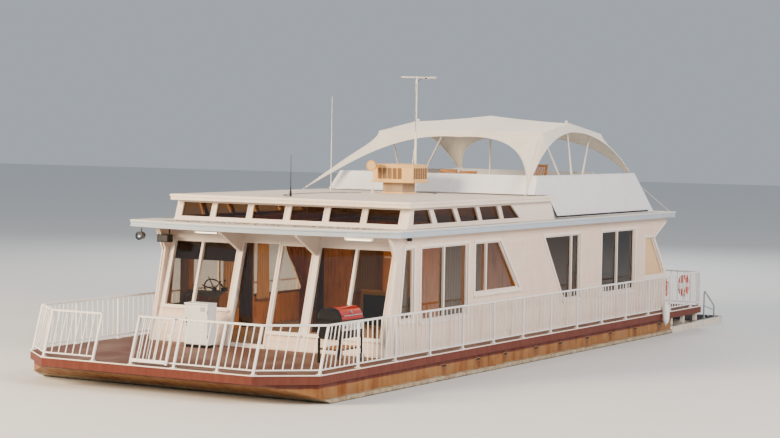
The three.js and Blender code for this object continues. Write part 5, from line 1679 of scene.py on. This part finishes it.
def makeFenders():
    profile = [(0.0, 0.018), (0.012, 0.034), (0.030, 0.046), (0.060, 0.066), (0.11, 0.083)]
    profile += [(0.13 + 0.0275 * k, 0.0895 - 0.004 * (k % 2)) for k in range(11)]
    profile += [(0.44, 0.082), (0.49, 0.064), (0.515, 0.046), (0.533, 0.030), (0.545, 0.016)]
    lowRail = place["deck"] + railing["low"]
    for name, side in (("port", 1), ("starboard", -1)):
        bm = bmesh.new()
        x, y, z = centre = Vector((-6.25, side * (place["deckHalf"] + 0.092), 0.68))
        addTurned(bm, centre, profile, 40)
        for eyeZ in (-0.006, 0.551):
            eye = centre + Vector((0, 0, eyeZ))
            addLoft(bm, hoop(eye, Vector((1, 0, 0)), Vector((0, 0, 1)), 0.020, 0.006, 16, 8), closed=True)
        # its line up to the low rail, with the hitch round the rail
        line = [(place["deckHalf"] + 0.026, place["deck"] + 0.012), (railY + 0.024, lowRail + 0.005),
            (railY + 0.006, lowRail + 0.021), (railY - 0.021, lowRail + 0.006),
            (railY - 0.008, lowRail - 0.020)]
        addTube(bm, [(x, y, z + 0.568), *[(x, side * out, up) for out, up in line]], 0.006, 8, 1)
        for dx in (-0.014, 0.014):
            hitch = [(x + dx + 0.004 * math.sin(t), side * railY + 0.021 * math.cos(t),
                lowRail + 0.021 * math.sin(t)) for t in [*circle(14), 2 * math.pi]]
            addTube(bm, hitch, 0.006, 8, 1)
        dressNode(f"fender_{name}", bm, "rubber rope", "fender_rubber", smooth=50, merge=False)


def makeLifeRing():
    ring = {"centre": Vector((-7.95, railY - 0.09, 1.55)), "major": 0.245, "minor": 0.058, "flat": 0.95,
        "round": 96, "sides": 20, "slack": 0.012}
    centre, major, minor = ring["centre"], ring["major"], ring["minor"]
    bm = bmesh.new()
    loops = hoop(centre, Vector((1, 0, 0)), Vector((0, 0, 1)), major, minor, ring["round"], ring["sides"],
        ring["flat"])
    addLoft(bm, loops, closed=True)
    # four white bands, each a third of its quarter
    bm.faces.ensure_lookup_table()
    for k in range(ring["round"]):
        for face in bm.faces[k * ring["sides"]:(k + 1) * ring["sides"]]:
            face.material_index = int((k + 4) % 24 < 8)
    # grab line: four slack bights between the bands, and the cord that ties the ring to the rail
    for start in circle(4, -math.pi / 4):
        bight = []
        for k in range(21):
            t = start + k / 20 * math.pi / 2
            reach = major + minor + 0.004 + ring["slack"] * math.sin(math.pi * k / 20)
            bight.append(centre + Vector((math.cos(t) * reach, 0, math.sin(t) * reach)))
        addTube(bm, bight, 0.0045, 8, 2)
    cord = [(-0.09, centre.z + major + 0.055 - railTop), (-0.032, -0.050), (-0.028, -0.005), (0, 0.006),
        (0.030, -0.010), (0.026, -0.046), (-0.024, -0.050)]
    addTube(bm, [(centre.x, railY + y, railTop + z) for y, z in cord], 0.005, 8, 2)
    dressNode("life_ring", bm, "ringRed ringWhite rope", "ring_foam", smooth=50, merge=False)


for key, way in (("port", 1), ("starboard", -1)):
    makeEngine(key, way)
makeTransom()
makePlatformTrims()
makeBoardingRail()
makeLadder()
makeFenders()
makeLifeRing()
print("engines and platform made")


# Deck and roof equipment

grill = {"aft": 7.30, "fore": 8.20, "back": 2.30, "front": 2.86, "leg": 0.04}


def makeBarbecue():
    aft, fore, back, front, leg = (grill[key] for key in ("aft", "fore", "back", "front", "leg"))
    floor = place["deck"] + 0.0003
    bm = bmesh.new()
    # firebox with rounded lower corners, its lip, control panel and knobs
    half = [(0.02, 1.795), (0.02, 1.52), (0.05, 1.45), (0.11, 1.43)]
    section = [(back + d, z) for d, z in half] + [(front - d, z) for d, z in reversed(half)]
    addLoft(bm, [[Vector((x, y, z)) for y, z in section] for x in (aft + 0.03, fore - 0.03)])
    addBox(bm, (aft + 0.02, back + 0.01, 1.780), (fore - 0.02, front - 0.01, 1.7995))
    addBox(bm, (aft + 0.05, front - 0.024, 1.60), (fore - 0.05, front - 0.010, 1.74), 1)
    knob = [(0, 0.030), (0.004, 0.030), (0.005, 0.022), (0.010, 0.020)]
    for x in [aft + 0.18 + 0.18 * k for k in range(4)]:
        addLathe(bm, (x, front - 0.012, 1.67), (0, 1, 0), knob, 20, 2)
        addBox(bm, (x - 0.004, front - 0.003, 1.65), (x + 0.004, front + 0.0005, 1.69), 1)
    # cart: four legs, rails, slatted shelf and two wheels
    ends, sides = (aft + 0.045, fore - 0.045), (back + 0.045, front - 0.045)
    for x, low in zip(ends, (floor + 0.055, floor)):
        for y in sides:
            addBar(bm, (x, y, low), (x, y, 1.445), leg, leg)
        addBar(bm, (x, sides[0], 1.235), (x, sides[1], 1.235), 0.022, 0.028)
    for y in sides:
        addBar(bm, (ends[0], y, 1.235), (ends[1], y, 1.235), 0.022, 0.028)
    for y in [back + 0.085 + k * (front - back - 0.17) / 6 for k in range(7)]:
        addBox(bm, (aft + 0.035, y - 0.022, 1.238), (fore - 0.035, y + 0.022, 1.2495), 3)
    for y in (back + 0.020, front - 0.020):
        addLathe(bm, (aft + 0.085, y - 0.018, floor + 0.082), (0, 1, 0),
            [(0, 0.07), (0.004, 0.081), (0.032, 0.081), (0.036, 0.07)], 28, 2)
    dressNode("barbecue_body", bm, "black chrome rubberBlack chairWood", "grill_black", smooth=35)

    # hood: a curved shell with black end caps, a front band and a long handle
    bm = bmesh.new()
    low, cap, middle = 1.8065, 0.07, 2.58
    arc = [(back + 0.006, low), (back + 0.010, 1.885), (back + 0.03, 1.945), (back + 0.075, 1.995),
        (back + 0.14, 2.025), (back + 0.22, 2.037), (back + 0.31, 2.039), (front - 0.17, 2.034),
        (front - 0.11, 2.002), (front - 0.06, 1.945), (front - 0.028, 1.885), (front - 0.016, low)]
    inner = [(y + (0.0 if 0.02 < (y - back) < 0.53 else (0.012 if y < 2.5 else -0.012)),
        z - (0.012 if z > 1.9 else 0)) for y, z in arc]
    addLoft(bm, [[Vector((x, y, z)) for y, z in arc] for x in (aft + cap, fore - cap)])
    for near, outer in ((aft + cap, aft + 0.004), (fore - cap, fore - 0.004)):
        end = [Vector((outer, middle + (y - middle) * 0.90, low + (z - low) * 0.88)) for y, z in inner]
        addLoft(bm, [[Vector((near, y, z)) for y, z in arc],
            [Vector((outer + (near - outer) * 0.35, y, z)) for y, z in inner], end], 1)
    for y in (back + 0.018, front - 0.030):
        addBox(bm, (aft + 0.01, y - 0.006, low + 0.0005), (fore - 0.01, y + 0.012, low + 0.022), 1)
    # thermometer, and the handle on two stays over the front
    spot = Vector(((aft + fore) / 2, front - 0.05, 1.94))
    addLathe(bm, spot, (0, 0.75, 0.55), [(0, 0.032), (0.010, 0.032), (0.012, 0.026), (0.0125, 0.0255)], 24,
        2)
    for x in (aft + 0.14, fore - 0.14):
        addBar(bm, (x, front - 0.030, 1.86), (x, front - 0.006, 1.885), 0.02, 0.012, 2)
    addTube(bm, [(aft + 0.11, front - 0.0125, 1.888), (fore - 0.11, front - 0.0125, 1.888)], 0.012, 14, 2)
    dressNode("barbecue_hood", bm, "red black chrome", "grill_red", body="barbecue_hood", smooth=40)


cabinet = {"aft": 7.18, "fore": 7.50, "starboard": -1.32, "port": -0.73}


def makeCabinet():
    x0, x1, y0, y1 = cabinet["aft"], cabinet["fore"], cabinet["starboard"], cabinet["port"]
    floor = place["deck"] + 0.0003
    bm = bmesh.new()
    addBox(bm, (x0 + 0.02, y0 + 0.02, floor), (x1 - 0.03, y1 - 0.02, floor + 0.06), 1)
    addBox(bm, (x0 + 0.004, y0 + 0.008, floor + 0.06), (x1 - 0.022, y1 - 0.008, 1.850))
    # door on the fore face with a shadow line round it, hinges, handle and lock
    addBox(bm, (x1 - 0.020, y0 + 0.012, floor + 0.075), (x1 - 0.004, y1 - 0.012, 1.838))
    addBox(bm, (x0, y0, 1.850), (x1, y1, 1.8748))
    for z in (1.17, 1.66):
        addTurned(bm, (x1 - 0.004, y1 - 0.006, z), [(0, 0.008), (0.07, 0.008)], 12, 1)
    addBox(bm, (x1 - 0.006, y0 + 0.045, 1.46), (x1 - 0.0005, y0 + 0.075, 1.57), 1)
    addLathe(bm, (x1 - 0.004, y0 + 0.06, 1.42), (1, 0, 0), [(0, 0.012), (0.0035, 0.012)], 16, 1)
    for z in [1.715 + 0.018 * k for k in range(5)]:
        addBox(bm, (x1 - 0.005, y1 - 0.19, z), (x1 - 0.0035, y1 - 0.07, z + 0.008), 1)
    dressNode("deck_cabinet", bm, "white black", "cabinet_white", bevel=0.004)


# the places are rows of x, y and height
chair = {"places": [(-4.90, -2.20, 0.995), (-4.87, -1.605, 0.965), (-4.87, 0.41, 1.18)], "half": 0.25,
    "post": 0.040, "slats": 9, "back": 0.56}


def makeChairs():
    floor, half, post = place["roofTop"] + 0.0003, chair["half"], chair["post"]
    for k, (x, y, tall) in enumerate(chair["places"]):
        bm = bmesh.new()
        seat = floor + tall - chair["back"]
        # legs, arms, aprons
        for side in (y - half + 0.035, y + half - 0.035):
            for px in (x + 0.21, x - 0.2):
                addBar(bm, (px, side, floor), (px, side, seat + 0.203), post, post)
            arm = [(-0.222, 0.212), (-0.05, 0.209), (0.14, 0.212), (0.25, 0.206)]
            addSweep(bm, [(x + dx, side, seat + dz) for dx, dz in arm],
                roundedSection(0.058, 0.022, 0.009, 3))
            for z, width, height in ((seat - 0.015, 0.022, 0.05), (floor + 0.16, 0.020, 0.03)):
                addBar(bm, (x - 0.2, side, z), (x + 0.21, side, z), width, height)
        for px in (x - 0.2, x + 0.21):
            addBar(bm, (px, y - half + 0.035, seat - 0.015), (px, y + half - 0.035, seat - 0.015), 0.022,
                0.05)
        # seat slats run across
        for px in [x - 0.195 + s * 0.068 for s in range(7)]:
            addBox(bm, (px - 0.027, y - half + 0.005, seat + 0.012),
                (px + 0.027, y + half - 0.005, seat + 0.029))
        # leaning back: two stiles, two rails, upright slats
        foot, head = Vector((x - 0.208, y, seat + 0.02)), Vector((x - 0.345, y, floor + tall - 0.005))
        for dy in (0.022 - half, half - 0.022):
            shift = Vector((0, dy, 0))
            addBar(bm, foot + shift, head + shift, 0.036, 0.028)
        for spot in (foot.lerp(head, 0.04), foot.lerp(head, 0.93)):
            reach = Vector((0, half - 0.02, 0))
            addBar(bm, spot - reach, spot + reach, 0.026, 0.055)
        for s in range(chair["slats"]):
            shift = Vector((0, (s - (chair["slats"] - 1) / 2) * 0.047, 0))
            addBar(bm, foot.lerp(head, 0.06) + shift, foot.lerp(head, 0.92) + shift, 0.026, 0.010)
        dressNode(f"roof_chair_{k + 1}", bm, "chairWood", "cabin_wood", smooth=35)


cooler = {"base": (0.33, 0.90, -0.56, -0.04), "plan": [(0.30, -0.83), (0.98, -0.83), (1.10, -0.63),
    (1.10, 0.08), (0.98, 0.28), (0.30, 0.28), (0.18, 0.08), (0.18, -0.63)]}


def makeCooler():
    bm = bmesh.new()
    x0, x1, y0, y1 = cooler["base"]
    base, plan, up = place["slabTop"] + 0.0003, cooler["plan"], Vector((0, 0, 1))
    # the plinth below the tray, in the painted shade finish
    addBox(bm, (x0, y0, base), (x1, y1, 4.26), 2)
    addBox(bm, (x0 - 0.012, y0 - 0.012, base), (x1 + 0.012, y1 + 0.012, base + 0.03))
    # tray lip, body, top lip and a low domed top
    rows = [(4.236, -0.010), (4.246, 0.006), (4.282, 0.006), (4.290, -0.012), (4.602, -0.012),
        (4.612, 0.006), (4.640, 0.008), (4.646, 0.0)]
    addLoft(bm, [[Vector((x, y, z)) for x, y in offsetOutline(plan, grow)] for z, grow in rows])
    middle = Vector((0.64, -0.275, 0))
    dome = ((4.644, 0.97), (4.656, 0.80), (4.665, 0.55), (4.670, 0.25))
    addLoft(bm, [[middle.lerp(Vector((x, y, 0)), share) + up * z for x, y in plan] for z, share in dome])
    # louvre fields on the four sides: dark backs with tilted blades in front
    fields = [((1.088, -0.60), (1.088, 0.05), 5), ((0.95, 0.268), (0.33, 0.268), 6),
        ((0.192, 0.05), (0.192, -0.60), 5), ((0.33, -0.818), (0.95, -0.818), 6)]
    for start, end, count in fields:
        a, b = Vector((*start, 0)), Vector((*end, 0))
        along = (b - a).normalized()
        out = Vector((along.y, -along.x, 0))
        width = (b - a).length / count
        for k in range(count):
            left, right = a + along * (width * k + 0.014), a + along * (width * (k + 1) - 0.014)
            corners = ((left, 4.325), (right, 4.325), (right, 4.575), (left, 4.575))
            addPlate(bm, [p + out * 0.001 + up * z for p, z in corners], 0.003, out, 1)
            for z in [4.335 + row * 0.030 for row in range(8)]:
                blade = ((0.003, 0.014), (0.012, 0), (0.014, 0.003), (0.005, 0.017))
                addLoft(bm, [[p + out * d + up * (z + dz) for d, dz in blade] for p in (left, right)], 1)
    dressNode("cooler", bm, "cooler coolerSlot coolerShade", "cooler_body", smooth=25)


# the mast's place, and the boom as half its length along x and y
aerial = {"mast": (-0.13, -0.30), "boomZ": 6.66, "boom": (0.33, -0.185), "elements": 11}


def makeAerials():
    floor, z, count = place["slabTop"] + 0.0003, aerial["boomZ"], aerial["elements"]
    (mx, my), (bx, by) = aerial["mast"], aerial["boom"]
    bm = bmesh.new()
    addTube(bm, [(mx, my, floor), (mx, my, 5.30)], 0.0275, 20, 1)
    addTube(bm, [(mx, my, 5.30), (mx, my, z + 0.019)], 0.0215, 20, 1)
    addTurned(bm, (mx, my, floor), [(0, 0.028), (0.012, 0.028), (0.014, 0.0278)], 20, 1)
    addTube(bm, [(mx - bx, my - by, z), (mx + bx, my + by, z)], 0.017, 12, 1)
    across = Vector((-by, bx, 0)).normalized()
    # the rods by their place along the boom, half length and height; the last two are the reflector
    rods = [(-0.93 + k * 1.86 / (count - 1), 0.235 - 0.011 * k, 0.006) for k in range(count)]
    for share, reach, dz in rods + [(-0.97, 0.27, -0.016), (-0.97, 0.27, 0.018)]:
        spot = Vector((mx + bx * share, my + by * share, z + dz))
        addTube(bm, [spot - across * reach, spot + across * reach], 0.0065, 8, 1)
    # the feed box, and the cable down the mast
    spot = Vector((mx - bx * 0.62, my - by * 0.62, z - 0.004))
    addBlock(bm, spot.x, spot.y, 0.03, 0.03, spot.z - 0.018, spot.z + 0.018, 2)
    path = [spot, spot + Vector((0.10, -0.056, -0.016)), (mx + 0.024, my + 0.004, 6.52),
        (mx + 0.026, my, 6.2), (mx + 0.026, my, 5.4)]
    addTube(bm, path, 0.004, 8, 2)
    dressNode("tv_antenna", bm, "steel whitePole black", "pole_steel", smooth=40, merge=False)

    whips = [("fore", (4.70, -0.60, floor), 16, "black", "grill_black",
        [(0, 0.029), (0.010, 0.029), (0.016, 0.024), (0.11, 0.024), (0.125, 0.015), (0.19, 0.012),
        (0.20, 0.008), (0.48, 0.0065), (0.60, 0.0055), (0.886, 0.0045)]),
        ("aft", (0.52, -2.20, floor), 18, "whitePole", "pole_steel",
        [(0, 0.029), (0.012, 0.029), (0.02, 0.022), (0.10, 0.020), (0.14, 0.0135), (0.30, 0.010),
        (1.20, 0.0095), (1.21, 0.0075), (2.196, 0.005)])]
    for name, foot, sides, finish, slot, profile in whips:
        bm = bmesh.new()
        addTurned(bm, foot, profile, sides)
        dressNode(f"whip_antenna_{name}", bm, finish, slot, smooth=40)


lamp = {"centre": (6.59, -3.112, 3.13), "radius": 0.0945, "half": 0.0895}


def makeLamps():
    x, y, z = lamp["centre"]
    r, h = lamp["radius"], lamp["half"]
    under, floor = place["roofBottom"] - 0.0003, place["slabTop"] + 0.0003
    bm = bmesh.new()
    # searchlight: bowl, rim, lens, yoke and mount under the eave
    bowl = [(0, 0.03), (0.012, 0.055), (0.05, 0.083), (0.10, 0.091), (0.155, r - 0.002), (0.158, r),
        (0.179, r), (0.1785, r - 0.010), (0.166, r - 0.014)]
    addLathe(bm, (x - h, y, z), (1, 0, 0), bowl, 36)
    addLathe(bm, (x + h - 0.020, y, z), (1, 0, 0), [(0, 0.078), (0.006, 0.05), (0.009, 0.0)], 36, 2)
    addTurned(bm, (x, y, z + r - 0.004), [(0, 0.012), (under - z - r, 0.012)], 16)
    addTurned(bm, (x, y, under - 0.028), [(0, 0.019), (0.008, 0.0195), (0.028, 0.0195)], 20, 1)
    dressNode("searchlight", bm, "lampBowl amber chrome", "pole_steel", smooth=35)

    # amber flood lamp on the slab beside the cooler
    bm = bmesh.new()
    x, y, z = 1.30, -0.60, 4.62
    addTube(bm, [(x, y, floor), (x, y, z - 0.1)], 0.018, 14, 1)
    addTurned(bm, (x, y, floor), [(0, 0.05), (0.008, 0.05), (0.012, 0.02)], 20, 1)
    bowl = [(0, 0.05), (0.03, 0.07), (0.10, 0.10), (0.16, 0.120), (0.185, 0.125), (0.195, 0.125),
        (0.193, 0.117), (0.18, 0.112)]
    addLathe(bm, (x - 0.12, y, z), (1, 0, 0), bowl, 32)
    addLathe(bm, (x + 0.065, y, z), (1, 0, 0), [(0, 0.112), (0.012, 0.07), (0.018, 0.0)], 32, 2)
    finishPiece("roof_flood_lamp", bm, "amber whitePole lens", "pole_steel", smooth=40)

    # fluorescent fittings under the fore awning
    bm = bmesh.new()
    x = 6.905
    for y0, y1 in ((-1.50, -0.92), (2.13, 2.75)):
        addBox(bm, (x - 0.04, y0, under - 0.030), (x + 0.04, y1, under))
        addTube(bm, [(x, y0 + 0.03, under - 0.045), (x, y1 - 0.03, under - 0.045)], 0.013, 14, 1)
        for y in (y0 + 0.012, y1 - 0.012):
            addBlock(bm, x, y, 0.02, 0.01, under - 0.060, under - 0.030)
    finishPiece("awning_tube_lamps", bm, "trim glow", "roof_sheet", smooth=40, merge=False)
    # the loudspeaker by the starboard windbreak, with its grille and two hangers
    bm = bmesh.new()
    addBox(bm, (6.435, -2.685, 3.015), (6.615, -2.405, 3.175))
    grille = [(-2.665, 3.035), (-2.425, 3.035), (-2.425, 3.155), (-2.665, 3.155)]
    addPlate(bm, [(6.6155, y, z) for y, z in grille], 0.004, (1, 0, 0), 1)
    for y in (-2.66, -2.43):
        addBlock(bm, 6.52, y, 0.02, 0.008, 3.175, under)
    finishPiece("awning_speaker", bm, "black rubberBlack", "grill_black", bevel=0.004)


# rows of name, path and radius: cables that are clipped flat to the roofs
cables = [("fore", [(4.70, -0.63, 0.006), (4.30, -1.05, 0.006), (3.70, -1.30, 0.006), (2.95, -1.42, 0.006),
    (2.20, -1.36, 0.006), (1.70, -1.10, 0.006), (1.45, -0.80, 0.006)], 0.006),
    ("aft", [(-0.13, -0.27, 0.005), (-0.05, 0.10, 0.005), (0.15, 0.42, 0.005), (0.60, 0.60, 0.005)], 0.005)]


def makeCables():
    for name, path, radius in cables:
        bm = bmesh.new()
        points = [Vector((x, y, place["slabTop"] + dz + 0.0005)) for x, y, dz in path]
        fine = []
        for k in range(len(points) - 1):
            a, b = points[max(k - 1, 0)], points[k]
            c, d = points[k + 1], points[min(k + 2, len(points) - 1)]
            for step in range(6):
                t = step / 6
                fine.append(0.5 * (2 * b + (c - a) * t + (2 * a - 5 * b + 4 * c - d) * t ** 2
                    + (3 * b - a - 3 * c + d) * t ** 3))
        fine.append(points[-1])
        addTube(bm, fine, radius, 8)
        for p in fine[3::9]:
            addBox(bm, (p.x - 0.012, p.y - 0.012, place["slabTop"]),
                (p.x + 0.012, p.y + 0.012, p.z + radius + 0.002))
        finishPiece(f"roof_cable_{name}", bm, "black", "grill_black", smooth=50, merge=False)


litter = {"count": 260, "size": (0.045, 0.028, 0.0012), "seed": 12}


def makeLitter():
    # dry leaves that have gathered on the fore roof deck ahead of the clerestory
    points = []
    for k in range(litter["count"]):
        a = (k * 0.754877666) % 1.0
        b = (k * 0.569840296) % 1.0
        c = (k * 0.438579021) % 1.0
        x = 6.02 + 0.50 * a ** 1.7
        y = -2.6 + 5.1 * b
        points.append((x, y, place["roofTop"] + 0.003 + 0.008 * c))
    mesh = repeated("leafLitter", points, litter["size"], "leaf", spread=(0.28, 0.28, 3.1),
        seed=litter["seed"])
    finishMesh("roof_leaf_litter", mesh, "leaf", "cabin_wood")


extinguisher = {"x": -7.455, "y": 2.965, "foot": 1.28, "radius": 0.072}


def makeExtinguisher():
    # hangs on the aft end of the port wall
    x, y, foot, r = (extinguisher[key] for key in ("x", "y", "foot", "radius"))
    bm = bmesh.new()
    addTurned(bm, (x, y, foot), [(0, r - 0.012), (0.006, r), (0.34, r), (0.375, r - 0.012), (0.40, 0.040),
        (0.412, 0.022), (0.43, 0.020)], 28, 0)
    addTurned(bm, (x, y, foot + 0.43), [(0, 0.020), (0.03, 0.020), (0.032, 0.012)], 16, 1)
    addBar(bm, (x + 0.01, y, foot + 0.455), (x + 0.01, y - 0.10, foot + 0.470), 0.018, 0.006, 1)
    addTube(bm, [(x, y + 0.018, foot + 0.44), (x, y + 0.055, foot + 0.43), (x, y + 0.088, foot + 0.37),
        (x, y + 0.084, foot + 0.25), (x, y + 0.078, foot + 0.12)], 0.009, 10, 1)
    addLathe(bm, (x, y + 0.078, foot + 0.12), (0, 0, -1), [(0, 0.010), (0.06, 0.018), (0.061, 0.012)], 14,
        1)
    for z in (foot + 0.10, foot + 0.30):
        addTurned(bm, (x, y, z), [(0, r + 0.002), (0.018, r + 0.002)], 28, 2)
        addBox(bm, (x + r - 0.004, y - 0.02, z), (-7.3605, y + 0.02, z + 0.018), 2)
    finishPiece("fire_extinguisher", bm, "ringRed rubberBlack steel", "grill_red", smooth=40, merge=False)


def makeSmallFittings():
    # the small black lamp by the port gusset
    bm = bmesh.new()
    top = place["roofBottom"] - 0.0003
    addBox(bm, (5.96, 3.03, top - 0.012), (6.06, 3.13, top))
    addLathe(bm, (6.01, 3.08, top - 0.012), (0, 0, -1),
        [(0, 0.045), (0.02, 0.052), (0.06, 0.052), (0.07, 0.040)], 20)
    finishPiece("gusset_lamp", bm, "black", "grill_black", smooth=40)
    # black strips where the side parapets stand on the roof: a seam, drawn black as painted shade of the
    # gap under the panels
    seam = {"foot": 3.4755, "lean": 0.28, "out": 2.880, "proud": 0.006,
        "path": [(-6.45, 3.502), (-1.15, 3.502), (-0.96, 3.865)]}
    bm = bmesh.new()
    for side in (1, -1):
        for (x0, z0), (x1, z1) in zip(seam["path"], seam["path"][1:]):
            ends = [Vector((x, side * (seam["out"] - seam["lean"] * (z - seam["foot"]) + 0.003), z))
                for x, z in ((x0, z0), (x1, z1))]
            addBar(bm, ends[0], ends[1], seam["proud"], 0.042)
    finishPiece("parapet_foot_strips_painted_shade", bm, "black", "grill_black")


makeBarbecue()
makeCabinet()
makeChairs()
makeCooler()
makeAerials()
makeLamps()
makeCables()
makeLitter()
makeExtinguisher()
makeSmallFittings()
print("deck and roof equipment made")


makeStage()
print("stage set")
